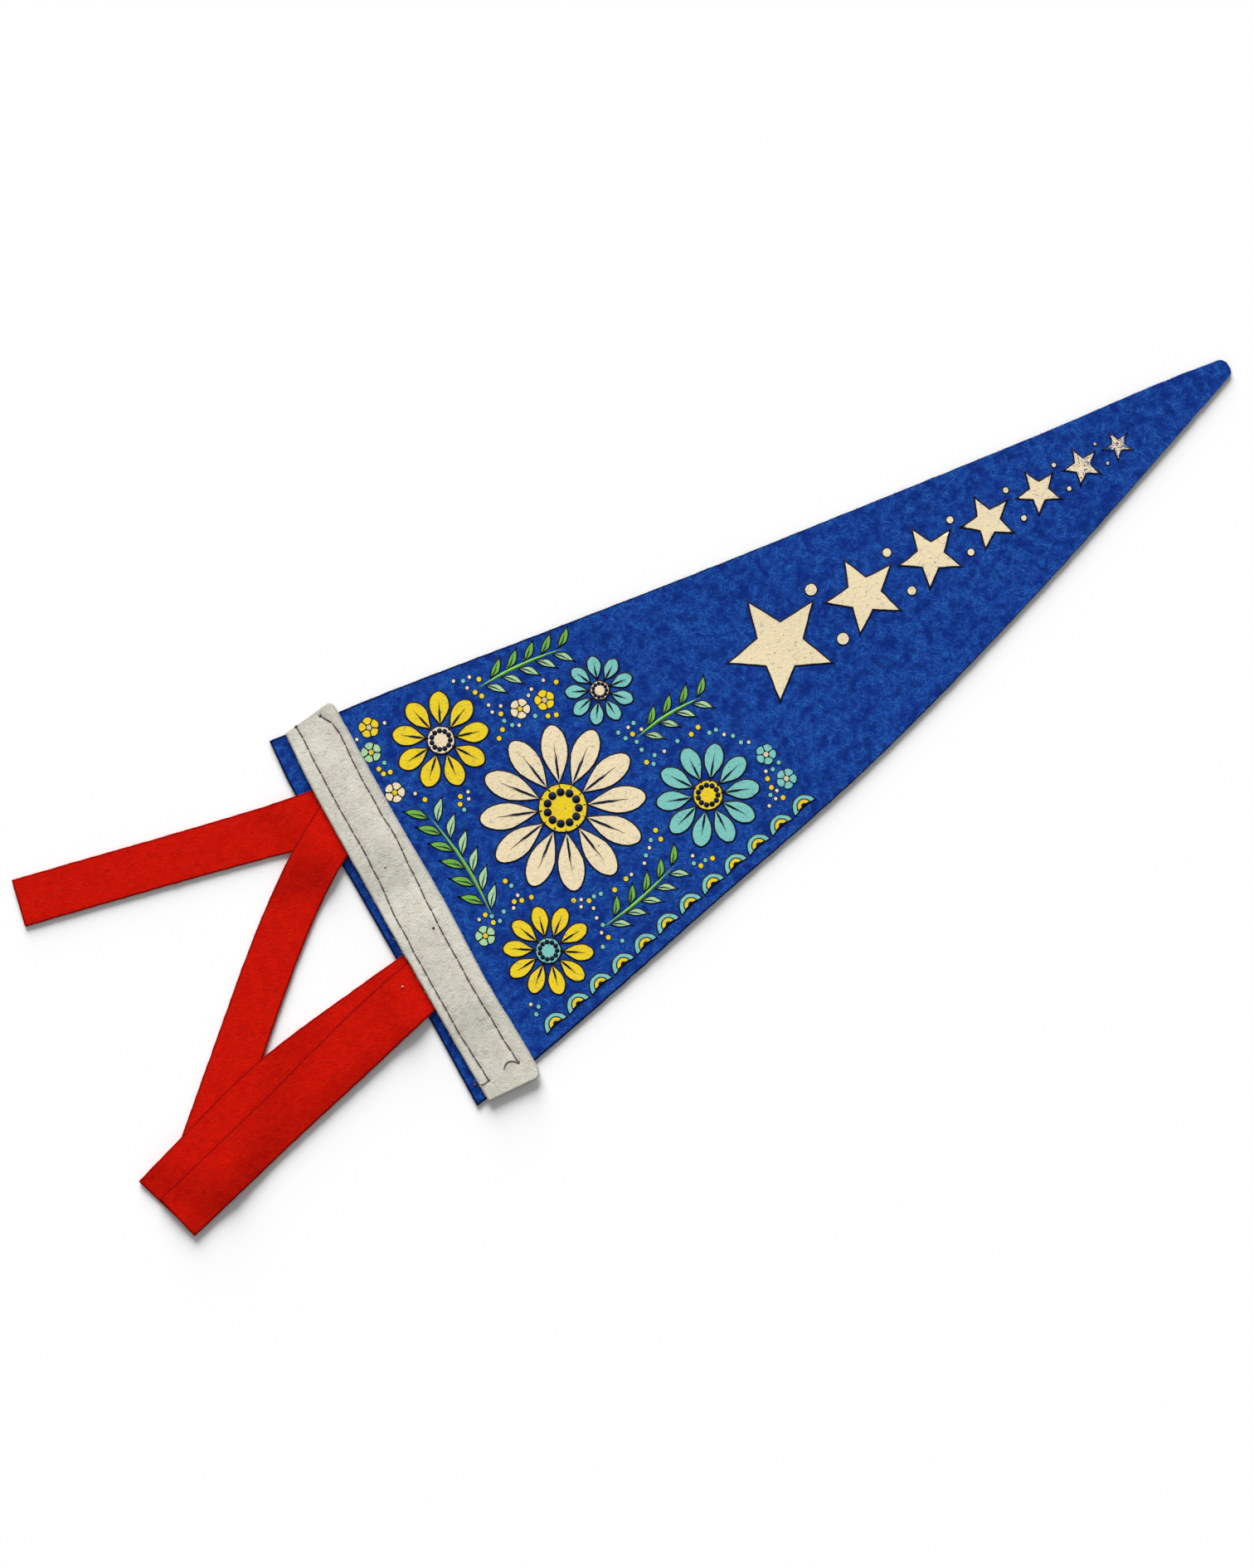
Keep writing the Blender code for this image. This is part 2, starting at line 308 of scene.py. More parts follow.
field = felt_sheet("felt_field_sheet", field_points(), side=1)
print("field:", len(field.data.polygons), "faces,", [round(d / MM, 1) for d in field.dimensions], "mm")

# %% [markdown]
# Each tie is one red strip, folded over flat, with the fold hidden under the heading. The lower tail leaves
# the fold first and the upper tail lies on it. A strip lies on whatever is beneath it: it is level on a
# layer, and past that layer's edge it comes down in a soft slope, because felt doesn't bend sharply. So
# its height is worked out from the layers under each point. The sewing presses the folds to about a third
# of their thickness, so both ties thin out as they go under the heading.

# %% The plan of the ties
# columns of a tail: distance from the fold, bearing in degrees, width
TIES = {
    "tie_upper": {
        "fold": (12.5, 33.2),
        "lower_tail": ((0, 166.0, 15.6), (4, 166.0, 15.8), (12, 165.0, 16.0), (24, 163.0, 15.4),
                       (40, 162.8, 14.8), (104.2, 163.0, 14.6)),
        "upper_tail": ((0, 202.0, 15.6), (4, 202.0, 15.4), (10, 203.5, 15.2), (24, 209.3, 14.8),
                       (48, 215.6, 14.8), (116.0, 217.4, 15.2)),
        "buried_y": (21.0, 44.2),
    },
    "tie_lower": {
        "fold": (13.0, -20.6),
        "lower_tail": ((0, 179.0, 15.4), (4, 179.0, 15.4), (13, 181.5, 15.4), (45, 183.0, 15.4),
                       (62, 186.0, 15.4), (80, 192.0, 15.4), (115.0, 193.0, 15.4)),
        "upper_tail": ((0, 195.0, 15.4), (4, 195.0, 15.4), (13, 189.5, 16.4), (35, 190.5, 16.9),
                       (75, 190.8, 15.4), (113.8, 190.0, 15.4)),
        "buried_y": (-32.2, -11.2),
    },
}
HEADING_SIDES = (            # columns: y, left edge x, right edge x
    (-66.0, -0.7, 17.2), (-49.3, 0.1, 18.0), (-33.0, 1.1, 18.5), (-5.4, 2.7, 21.1),
    (20.5, 4.5, 22.5), (45.2, 6.4, 24.3), (63.0, 8.7, 25.6),
)
FOLD_RADIUS = LAYER / 2      # radius of the strip's middle surface as it turns over, before it is pressed
FOLD_STEPS = 5               # steps in each quarter of that turn
PRESSED = 0.33               # share of a tie's thickness that the sewing leaves under the heading
PRESSED_REACH = 11.0         # a tie starts to thin this far before the heading
SKEW_LENGTH = 13.0           # beyond this the rows of a tie stop slanting with its fold
SHOULDER = 0.8               # cloth stays level this far past an edge that it lies on
HOIST_RAMP = 14.0            # then comes down over this distance off the field
STRIP_RAMP = 15.0            # or off another strip


def fall(distance, ramp):
    """1 up to the shoulder past an edge, then a soft S-curve down to 0."""
    return 1.0 - ease(distance, SHOULDER, SHOULDER + ramp)


def thinness_at(x, y):
    """The share of its thickness that a tie keeps: all of it in the open, a third under the heading."""
    under = x - smooth(HEADING_SIDES, y, 1)
    return 1.0 - (1.0 - PRESSED) * ease(under, -PRESSED_REACH, 0.5)


class Tail:
    """One tail of a tie: a strip whose middle line follows bearings from the fold outwards."""

    STEP = 1.0

    def __init__(self, fold, rows):
        self.rows = rows
        self.length = rows[-1][0]
        middles = (np.arange(math.ceil(self.length / self.STEP)) + 0.5) * self.STEP
        steps = self.heading(middles) * self.STEP
        self.points = np.concatenate([[fold], np.array(fold) + np.cumsum(steps, axis=0)])

    def heading(self, distance):
        """Direction of the middle line at each distance."""
        bearing = np.radians(smooth(self.rows, distance))
        return np.stack([np.cos(bearing), np.sin(bearing)], -1)

    def side(self, distance):
        """Direction across the strip, the same for both tails, because the fold turns the strip over."""
        ahead = self.heading(distance)
        return np.stack([ahead[..., 1], -ahead[..., 0]], -1)

    def half_width(self, distance):
        return smooth(self.rows, distance, 2) / 2

    def place(self, distance, offset):
        """Plan positions on the strip. A distance below 0 goes straight on past the fold."""
        inside = np.maximum(distance, 0.0)
        k = np.clip((inside / self.STEP).astype(int), 0, len(self.points) - 1)
        ahead = self.heading(inside) * (distance - k * self.STEP)[..., None]
        return self.points[k] + ahead + self.side(inside) * offset[..., None]

    def outside(self, x, y):
        """How far plan positions are outside the strip, or a negative number inside it."""
        here = np.stack([x, y], -1)
        gaps = here[..., None, :] - self.points
        k = np.argmin((gaps ** 2).sum(-1), -1)
        distance = np.minimum(k * self.STEP, self.length)
        away = here - self.points[k]
        past_side = np.abs((away * self.side(distance)).sum(-1)) - self.half_width(distance)
        past_end = np.where(k == len(self.points) - 1, (away * self.heading(distance)).sum(-1), -SHOULDER)
        return np.maximum(past_side, past_end)


tails = {
    name: (Tail(tie["fold"], tie["lower_tail"]), Tail(tie["fold"], tie["upper_tail"]))
    for name, tie in TIES.items()
}
for name, (lower, upper) in tails.items():
    print(name, "is a strip of", round(lower.length + upper.length), "mm")

# %% [markdown]
# The rows of points slant near the heading, so that the strip turns over on its slanting fold line, in half
# a turn of a small radius. Loose ends of felt never lie dead flat, so each tail also gets a slow ripple,
# which fades out where another layer presses on it.

# %% Ties
TIE_STEP = 1.05
TIE_RIPPLE = 0.14


def tie_height(name, level, x, y):
    """Height of a tail's underside: each layer beneath it lifts it, and it comes down past their edges."""
    height = LAYER * fall(smooth(HOIST_EDGE, y) - x, HOIST_RAMP)
    if name == "tie_lower":
        height = height + LAYER * fall(tails["tie_upper"][1].outside(x, y), STRIP_RAMP)
    if level == 1:
        height = height + LAYER * thinness_at(x, y) * fall(tails[name][0].outside(x, y), STRIP_RAMP)
    return height


def tie_points(name, seed):
    """One strip: out along the lower tail, turned over at the fold, and out again on top of it."""
    lower, upper = tails[name]
    fold_out = lower.heading(0.0) + upper.heading(0.0)
    fold_out = fold_out / np.linalg.norm(fold_out)
    lean = float(upper.heading(0.0) @ fold_out)
    slant = float(upper.side(0.0) @ fold_out)
    radius = FOLD_RADIUS * PRESSED
    quarter = math.pi * radius / 2
    turn = quarter / lean * np.arange(1, FOLD_STEPS + 1) / FOLD_STEPS

    def outward(length):
        return np.concatenate([turn, turn[-1] + spaced(length - turn[-1], TIE_STEP)[1:]])

    stations = np.concatenate([-outward(lower.length)[::-1], [0.0], outward(upper.length)])
    width = 2 * lower.half_width(0.0)
    across = 2 * spaced(width, TIE_STEP) / width - 1
    station, share = np.meshgrid(stations, across)
    out = np.abs(station)
    offset = share * np.where(station > 0, upper.half_width(out), lower.half_width(out))
    offset += np.abs(share) ** 20 * CUT_WAVER * waves(station, share, 6.0, seed=seed)
    along = station - offset * slant / lean * fall(out, SKEW_LENGTH)
    from_fold = along * lean + offset * slant
    on_top = from_fold > 0
    spot = np.where(on_top[..., None], upper.place(along, offset), lower.place(-along, offset))
    angle = np.clip(from_fold / quarter, -1, 1) * math.pi / 2
    inset = math.pi * (FOLD_RADIUS - radius) / 2 + np.minimum(np.abs(from_fold), quarter)
    spot = spot - fold_out * (inset + radius * np.cos(angle))[..., None]
    x, y = spot[..., 0], spot[..., 1]
    turning = tie_height(name, 0, x, y) + radius * (1 + np.sin(angle))
    lying = np.where(on_top, tie_height(name, 1, x, y), tie_height(name, 0, x, y))
    height = np.where(np.abs(from_fold) < quarter, turning, lying)
    ripple = (0.5 + 0.5 * waves(station, share * 3, 34.0, seed=seed + 1)).clip(0, 1)
    thinness = thinness_at(x, y)
    height = height + TIE_RIPPLE * ease(out, 30.0, 60.0) * ripple + FELT * thinness / 2
    return to_frame(x, y, height), thinness


ties = {}
for name, seed in (("tie_upper", 21), ("tie_lower", 31)):
    points, thinness = tie_points(name, seed)
    ties[name] = felt_sheet(name + "_strip", points, side=0, thinness=thinness)
    highest = points_of(ties[name])[:, 2].max() / MM
    print(name, len(ties[name].data.polygons), "faces, top at", round(highest, 2))

# %% [markdown]
# The heading is the grey-beige strip that is laid over the field and the folds, and sewn down in two rows.
# It rises softly over each buried fold. Every stitch pulls the felt down, so both rows lie in a shallow
# furrow with a deeper dent at each needle hole. The furrow is in the mesh, so it needs points closer
# together than elsewhere.

# %% The sewing lines
# columns: y, x
HOIST_ROW = ((-58.1, 2.9), (-45.2, 3.1), (-28.9, 4.2), (0.7, 6.6), (15.4, 8.8), (29.4, 9.8), (39.3, 10.5),
             (50.1, 11.4), (57.0, 12.2), (62.0, 12.5))
FLY_ROW = ((-58.5, 13.1), (-44.4, 13.6), (-32.4, 14.2), (-5.6, 16.3), (4.6, 17.6), (19.3, 19.5),
           (33.2, 20.1), (46.1, 21.3), (56.4, 22.2), (60.8, 20.3))
STITCH = 4.0            # length of one stitch
FURROW = 0.15
FURROW_WIDTH = 0.9
DENT = 0.15
DENT_WIDTH = 0.6
ROW_SWAY = 0.22         # how far a row strays from its smooth line
ROW_FADE = 1.5          # the furrow runs out over this distance past a row's ends


def row_line(row):
    """Needle holes along a row of stitches, in the plan, about one stitch apart, a little uneven."""
    y = np.linspace(row[0][0], row[-1][0], 800)
    walked = np.concatenate([[0.0], np.cumsum(np.hypot(np.diff(smooth(row, y)), np.diff(y)))])
    count = round(walked[-1] / STITCH)
    stops = np.interp(np.linspace(0, walked[-1], count + 1), walked, y)
    sway = ROW_SWAY * waves(stops, row[0][1], 10.0, seed=7)
    return np.stack([smooth(row, stops) + sway, stops], -1)


SEWING = {"hoist_row": row_line(HOIST_ROW), "fly_row": row_line(FLY_ROW)}


def furrow(x, y):
    """How far the sewing pulls the felt in at plan positions, in millimetres."""
    depth = np.zeros(np.broadcast(x, y).shape)
    for holes in SEWING.values():
        from_row = x - np.interp(y, holes[:, 1], holes[:, 0])
        low, high = holes[0, 1], holes[-1, 1]
        inside = ease(y, low - ROW_FADE, low) * (1 - ease(y, high, high + ROW_FADE))
        line = FURROW * np.exp(-(from_row / FURROW_WIDTH) ** 2)
        nearest = np.abs(np.asarray(y)[..., None] - holes[:, 1]).min(-1)
        dent = DENT * np.exp(-(from_row ** 2 + nearest ** 2) / DENT_WIDTH ** 2)
        depth = np.maximum(depth, (line + dent) * inside)
    return depth


for name, holes in SEWING.items():
    print(name, "has", len(holes) - 1, "stitches")

# %% The heading
HEADING_LOW_END = (-63.5, -66.0)      # y at the left corner and at the right one
HEADING_TOP_END = (62.1, 62.9)
HEADING_LOW_ROUND = 2.6
HEADING_TOP_ROUND = 1.8
HEADING_WIDTH = 17.9
HEADING_STEP = 0.62
HEADING_WAVER = 0.04
SIDE_RAMP = 16.0       # the heading comes down over this distance beside a buried fold
END_RAMP = 8.0         # and over this one past the fold itself
UNDERSIDE_PULL = 1.8   # the looser lower thread pulls the field in further


def heading_underside(x, y):
    """Height of the heading's underside: on the field, and higher over the buried folds."""
    height = np.full(np.broadcast(x, y).shape, LAYER)
    for tie in TIES.values():
        low, high = tie["buried_y"]
        past_side = np.maximum(low - y, y - high)
        past_fold = x - (tie["fold"][0] + PRESSED * (FOLD_RADIUS + FELT / 2))
        height += 2 * LAYER * thinness_at(x, y) * fall(past_side, SIDE_RAMP) * fall(past_fold, END_RAMP)
    return height


def heading_top(x, y):
    """Height of the heading's upper face before the sewing pulls it in."""
    return heading_underside(x, y) + FELT + HEADING_WAVER * (1 + waves(x, y, 9.0, seed=42).clip(-1, 1))


def rounded(across, radius):
    """How much of the strip's length its rounded right-hand corner takes off."""
    reach = np.clip(across * HEADING_WIDTH - (HEADING_WIDTH - radius), 0.0, radius)
    return radius - np.sqrt(radius ** 2 - reach ** 2)


def heading_points():
    """The heading's sheet: columns from its left edge to its right one, rows along it."""
    across = spaced(HEADING_WIDTH, HEADING_STEP) / HEADING_WIDTH
    length = HEADING_TOP_END[1] - HEADING_LOW_END[1]
    along = spaced(length, HEADING_STEP) / length
    low = np.interp(across, (0, 1), HEADING_LOW_END) + rounded(across, HEADING_LOW_ROUND)
    high = np.interp(across, (0, 1), HEADING_TOP_END) - rounded(across, HEADING_TOP_ROUND)
    y = low[:, None] + (high - low)[:, None] * along
    left, right = smooth(HEADING_SIDES, y, 1), smooth(HEADING_SIDES, y, 2)
    x = left + (right - left) * across[:, None]
    x = x + np.abs(2 * across - 1)[:, None] ** 20 * CUT_WAVER * waves(x, y, 6.5, seed=41)
    return to_frame(x, y, heading_top(x, y) - FELT)


def press_sewing(piece, pull):
    """Pulls a sewn piece's free face in along the rows of stitches: down if pull is below 0, up above it."""
    points = points_of(piece)
    plan = (points - PLAN_SHIFT) / MM
    normals = np.array([vertex.normal for vertex in piece.data.vertices])
    free_face = normals[:, 2] * pull < -0.3 * abs(pull)
    points[:, 2] += np.where(free_face, furrow(plan[:, 0], plan[:, 1]) * pull, 0.0) * MM
    set_points(piece, points)


heading = felt_sheet("heading_strip", heading_points(), side=1)
press_sewing(heading, -1.0)
press_sewing(field, UNDERSIDE_PULL)
print("heading:", len(heading.data.polygons), "faces, top at", round(points_of(heading)[:, 2].max() / MM, 2))

# %% [markdown]
# What repeats is modelled once. A stitch, a petal or a fibre is one small mesh, and its copies are one
# joined mesh that is made from arrays: the same faces over and over, with each copy's points in their own
# place. That takes a fraction of the time of thousands of separate objects.

# %% Many copies of one small mesh
def many(name, master, copies):
    """One mesh with a copy of the master for each row of points. It takes the master's materials."""
    faces = master.data.polygons
    corner = np.zeros(len(master.data.loops), int)
    master.data.loops.foreach_get("vertex_index", corner)
    start = np.array([face.loop_start for face in faces])
    paint = np.array([face.material_index for face in faces])
    number = np.arange(len(copies))[:, None]
    mesh = bpy.data.meshes.new(name)
    mesh.vertices.add(copies.shape[0] * copies.shape[1])
    mesh.vertices.foreach_set("co", copies.astype(np.float32).ravel())
    mesh.loops.add(len(corner) * len(copies))
    mesh.loops.foreach_set("vertex_index", (corner + number * copies.shape[1]).ravel())
    mesh.polygons.add(len(faces) * len(copies))
    mesh.polygons.foreach_set("loop_start", (start + number * len(corner)).ravel())
    mesh.polygons.foreach_set("material_index", np.tile(paint, len(copies)))
    for material in master.data.materials:
        mesh.materials.append(material)
    mesh.update(calc_edges=True)
    mesh.shade_smooth()
    piece = bpy.data.objects.new(name, mesh)
    bpy.context.scene.collection.objects.link(piece)
    return piece


def joined(name, pieces):
    """Several objects as one, with that name."""
    select_only(pieces[0])
    for piece in pieces:
        piece.select_set(True)
    if len(pieces) > 1:
        bpy.ops.object.join()
    bpy.context.object.name = name
    bpy.context.object.data.name = name
    return bpy.context.object


def strand_master(sides, rings):
    """A thin closed strand along Z from 0 to 1: a cylinder primitive, cut into rings with Bisect."""
    bpy.ops.object.select_all(action="DESELECT")
    bpy.ops.mesh.primitive_cylinder_add(vertices=sides, radius=1.0, depth=1.0, location=(0, 0, 0.5))
    master = bpy.context.object
    bpy.ops.object.transform_apply(location=True)
    bpy.ops.object.mode_set(mode="EDIT")
    for k in range(1, rings):
        bpy.ops.mesh.select_all(action="SELECT")
        bpy.ops.mesh.bisect(plane_co=(0, 0, k / rings), plane_no=(0, 0, 1))
    bpy.ops.object.mode_set(mode="OBJECT")
    return master


def strands(name, master, path, radius, material, lobes=0.0, twist=0.0):
    """Many strands. Path takes a share of the length, from 0 to 1, and gives every copy's middle there."""
    shape = points_of(master)
    around, share = np.arctan2(shape[:, 1], shape[:, 0]), shape[:, 2]
    steps, which = np.unique(share.round(4), return_inverse=True)
    middle = np.stack([path(step) for step in steps], axis=1)
    ahead = np.gradient(middle, axis=1)
    ahead /= np.linalg.norm(ahead, axis=-1, keepdims=True)
    side = np.cross(ahead, (0.0, 0.0, 1.0))
    side /= np.maximum(np.linalg.norm(side, axis=-1, keepdims=True), 1e-9)
    over = np.cross(side, ahead)
    reach = radius * (1 + lobes * np.cos(3 * (around - twist * share)))
    taper = np.where((share < 0.001) | (share > 0.999), 0.6, 1.0) * reach
    points = (middle[:, which] + side[:, which] * (np.cos(around) * taper)[:, None]
              + over[:, which] * (np.sin(around) * taper)[:, None])
    master.data.materials.clear()
    master.data.materials.append(material)
    return many(name, master, points)


thread_master = strand_master(sides=9, rings=14)
print("one stitch:", len(thread_master.data.polygons), "faces")

# %% [markdown]
# Three felts need the same effect at different strengths, so it is one shader node group. Short fibres in
# four directions come from noise stretched along each direction, and two coarser noises together make the
# paler and darker patches of a mat of wool. The group gives a colour and a height. Sheen, which is the soft
# glow of wool seen at a slant, stays in each material.

# %% Small helpers for node trees
def new_group(name, inputs, outputs):
    """A shader node group with these sockets, and its input and output nodes."""
    group = bpy.data.node_groups.new(name, "ShaderNodeTree")
    for label, kind in inputs:
        group.interface.new_socket(name=label, in_out="INPUT", socket_type=kind)
    for label, kind in outputs:
        group.interface.new_socket(name=label, in_out="OUTPUT", socket_type=kind)
    return group, group.nodes.new("NodeGroupInput"), group.nodes.new("NodeGroupOutput")


def add(tree, kind, **settings):
    """A node with its settings. A setting that starts with in_ is the value of an input."""
    node = tree.nodes.new(kind)
    for key, value in settings.items():
        if key.startswith("in_"):
            node.inputs[key[3:].replace("_", " ")].default_value = value
        else:
            setattr(node, key, value)
    return node


def feed(tree, value, socket):
    """Links a socket to an input, or sets a plain number or colour on it."""
    if hasattr(value, "links"):
        tree.links.new(value, socket)
    else:
        socket.default_value = (*value, 1.0) if hasattr(value, "__len__") else value


def maths(tree, operation, first, second):
    """A Math node that is fed by sockets or by plain numbers."""
    node = add(tree, "ShaderNodeMath", operation=operation)
    feed(tree, first, node.inputs[0])
    feed(tree, second, node.inputs[1])
    return node.outputs[0]


def noise(tree, vector, size, detail=2.0, distortion=0.0):
    """Noise with features of about that size in millimetres."""
    node = add(tree, "ShaderNodeTexNoise", in_Scale=1.0 / (size * MM), in_Detail=detail,
               in_Distortion=distortion)
    tree.links.new(vector, node.inputs["Vector"])
    return node.outputs["Fac"]


def between(tree, value, low, high):
    """A value's place between two limits, from 0 to 1."""
    node = add(tree, "ShaderNodeMapRange", interpolation_type="SMOOTHSTEP", in_From_Min=low, in_From_Max=high)
    tree.links.new(value, node.inputs["Value"])
    return node.outputs["Result"]


def mixed(tree, factor, first, second):
    """A colour between two others. Each may be a socket or a plain colour."""
    node = add(tree, "ShaderNodeMix", data_type="RGBA")
    feed(tree, factor, node.inputs["Factor"])
    feed(tree, first, node.inputs[6])
    feed(tree, second, node.inputs[7])
    return node.outputs[2]


print("helpers are ready")

# %% The felt node group
FIBRE_WAYS = (8.0, 52.0, 97.0, 141.0)     # degrees
FIBRE_LENGTH = 2.2                        # millimetres, as the three below
FIBRE_WIDTH = 0.40
MOTTLE_SIZE = 0.9
CLOUD_SIZE = 2.6


def fibre_layer(tree, vector, way):
    """Short bright lines in one direction."""
    turn = add(tree, "ShaderNodeMapping", vector_type="TEXTURE", in_Rotation=(0.0, 0.0, math.radians(way)),
               in_Scale=(FIBRE_LENGTH * MM, FIBRE_WIDTH * MM, FIBRE_WIDTH * MM))
    tree.links.new(vector, turn.inputs["Vector"])
    texture = add(tree, "ShaderNodeTexNoise", in_Scale=1.0, in_Detail=1.0, in_Distortion=0.8)
    tree.links.new(turn.outputs["Vector"], texture.inputs["Vector"])
    return between(tree, texture.outputs["Fac"], 0.52, 0.74)


felt_group, given, result = new_group(
    "wool felt",
    [("Deep", "NodeSocketColor"), ("Body", "NodeSocketColor"), ("Wisp", "NodeSocketColor"),
     ("Wisp Amount", "NodeSocketFloat"), ("Seed", "NodeSocketVector")],
    [("Color", "NodeSocketColor"), ("Height", "NodeSocketFloat")],
)
where = add(felt_group, "ShaderNodeTexCoord")
moved = add(felt_group, "ShaderNodeVectorMath", operation="ADD")
felt_group.links.new(where.outputs["Object"], moved.inputs[0])
felt_group.links.new(given.outputs["Seed"], moved.inputs[1])
spot = moved.outputs[0]
fibres = fibre_layer(felt_group, spot, FIBRE_WAYS[0])
for way in FIBRE_WAYS[1:]:
    fibres = maths(felt_group, "MAXIMUM", fibres, fibre_layer(felt_group, spot, way))
mottle = noise(felt_group, spot, MOTTLE_SIZE, detail=3.0, distortion=0.4)
cloud = noise(felt_group, spot, CLOUD_SIZE, detail=1.0)
patch = maths(felt_group, "MULTIPLY", maths(felt_group, "ADD", mottle, cloud), 0.5)
paler = between(felt_group, patch, 0.36, 0.62)
ground = mixed(felt_group, paler, given.outputs["Deep"], given.outputs["Body"])
wisps = maths(felt_group, "MULTIPLY", fibres, given.outputs["Wisp Amount"])
wisps = maths(felt_group, "MULTIPLY", wisps, between(felt_group, cloud, 0.25, 0.70))
felt_group.links.new(mixed(felt_group, wisps, ground, given.outputs["Wisp"]), result.inputs["Color"])
fibre_height = maths(felt_group, "MULTIPLY", fibres, 0.6)
mottle_height = maths(felt_group, "MULTIPLY", mottle, 0.8)
felt_group.links.new(maths(felt_group, "ADD", fibre_height, mottle_height), result.inputs["Height"])
print("felt group:", len(felt_group.nodes), "nodes")

# %% [markdown]
# Each felt sets the group's colours as on the real flag, and its own sheen and bump. The blue one is a
# deep royal blue with clear lighter wisps. The red is almost even. The grey-beige one has faint flecks.
# Along each cut edge the colour is mixed towards a deeper one, by the mark on the points of the edge. That is
# painted shade: it stands in for the shade on the rounded cut edge and for the shadow that an upper layer's
# edge throws on the felt beneath.

# %% The three felts
FELT_BUMP = 0.35      # millimetres


def rough_shader(material, roughness, specular):
    """The Principled shader of a new material, set dull."""
    material.use_nodes = True
    shader = material.node_tree.nodes["Principled BSDF"]
    shader.inputs["Roughness"].default_value = roughness
    shader.inputs["Specular IOR Level"].default_value = specular
    return shader


def raise_relief(tree, shader, height, strength, depth):
    """Feeds a height through a Bump node to a shader."""
    bump = add(tree, "ShaderNodeBump", in_Strength=strength, in_Distance=depth * MM)
    tree.links.new(height, bump.inputs["Height"])
    tree.links.new(bump.outputs["Normal"], shader.inputs["Normal"])


def felt_material(name, deep, body, wisp, edge, amount, seed, sheen, bump):
    """A felt from the shared group, with its own sheen. Edge is the painted shade that is mixed in along a
    cut edge.
    """
    material = bpy.data.materials.new(name)
    shader = rough_shader(material, 0.95, 0.05)
    tree = material.node_tree
    shader.inputs["Sheen Weight"].default_value = sheen
    shader.inputs["Sheen Roughness"].default_value = 0.6
    felt = add(tree, "ShaderNodeGroup", node_tree=felt_group)
    for label, colour in (("Deep", deep), ("Body", body), ("Wisp", wisp)):
        felt.inputs[label].default_value = (*colour, 1.0)
    felt.inputs["Wisp Amount"].default_value = amount
    felt.inputs["Seed"].default_value = (seed, seed * 0.7, 0.0)
    cut = add(tree, "ShaderNodeAttribute", attribute_name="cut_edge")
    # Painted shade: a deeper colour mixed in along each cut edge, standing in for shade and shadow there.
    painted_edge_shade = between(tree, cut.outputs["Fac"], 0.0, 0.6)
    tree.links.new(mixed(tree, painted_edge_shade, felt.outputs["Color"], edge), shader.inputs["Base Color"])
    raise_relief(tree, shader, felt.outputs["Height"], bump, FELT_BUMP)
    return material


BLUE = (0.006, 0.038, 0.27)
# The edge colours are painted shade along the cut edges.
blue_felt = felt_material("blue felt", (0.004, 0.023, 0.185), BLUE, (0.022, 0.120, 0.42),
                          edge=(0.002, 0.004, 0.03), amount=0.9, seed=0.3, sheen=0.0, bump=0.4)
red_felt = felt_material("red felt", (0.51, 0.0045, 0.001), (0.555, 0.0055, 0.001), (0.61, 0.014, 0.003),
                         edge=(0.25, 0.002, 0.001), amount=0.4, seed=1.7, sheen=0.0, bump=0.35)
grey_felt = felt_material("grey felt", (0.55, 0.53, 0.45), (0.59, 0.572, 0.495), (0.66, 0.65, 0.58),
                          edge=(0.40, 0.385, 0.33), amount=0.5, seed=2.9, sheen=0.03, bump=0.30)
field.data.materials.append(blue_felt)
heading.data.materials.append(grey_felt)
for tie in ties.values():
    tie.data.materials.append(red_felt)
print("felts:", [m.name for m in (blue_felt, red_felt, grey_felt)])

# %% [markdown]
# A lockstitch is two threads: one on top, one beneath, which meet inside the felt at each needle hole. The
# top thread comes up out of a hole, lies along its furrow for 4 mm and goes down again. One stitch is a
# thin cylinder with three lobes that wind round it, as the plies of a thread do, and it is bent to each
# pair of holes.

# %% The stitches
THREAD_RADIUS = 0.19
SUNK = 0.24             # how far the thread's ends go down into the felt
PROUD = 0.15            # how far its middle stands over the furrow
PLY_TURNS = 3.0         # turns of the plies along three stitches
LOBES = 0.16            # how far each ply stands out, as a share of the radius
THREAD_DARK = (0.045, 0.030, 0.038)
THREAD_PALE = (0.12, 0.088, 0.098)

thread = bpy.data.materials.new("sewing thread")
thread_shader = rough_shader(thread, 0.75, 0.25)
tree = thread.node_tree
where = add(tree, "ShaderNodeTexCoord").outputs["Object"]
tone = mixed(tree, between(tree, noise(tree, where, 2.2), 0.35, 0.65), THREAD_DARK, THREAD_PALE)
tree.links.new(tone, thread_shader.inputs["Base Color"])


def stitches(name, holes, surface, out):
    """A row of stitches on a face. Out is 1 for an upper face and -1 for an underside."""

    def path(share):
        plan = holes[:-1] + (holes[1:] - holes[:-1]) * share
        rise = -SUNK + (SUNK + PROUD) * abs(math.sin(math.pi * share)) ** 0.25
        height = surface(plan[:, 0], plan[:, 1]) + out * rise
        return to_frame(plan[:, 0], plan[:, 1], np.maximum(height, THREAD_RADIUS + 0.02))

    return strands(name, thread_master, path, THREAD_RADIUS * MM, thread, LOBES, PLY_TURNS * math.tau / 3)


def sewn_top(x, y):
    """Height of the heading's upper face at the bottom of its furrows."""
    return heading_top(x, y) - furrow(x, y)


def sewn_underside(x, y):
    """Height of the field's underside at the top of its furrows."""
    return UNDERSIDE_PULL * furrow(x, y)


rows = [stitches("top " + name, holes, sewn_top, 1) for name, holes in SEWING.items()]
rows += [stitches("lower " + name, holes, sewn_underside, -1) for name, holes in SEWING.items()]
sewing = joined("sewing_thread", rows)
print("sewing:", len(sewing.data.polygons), "faces")

# %% [markdown]
# Each row ends in a small knot, and at the lower end a short tail of thread is left loose: one lies out
# over the hoist edge, and one is hooked back over the heading.

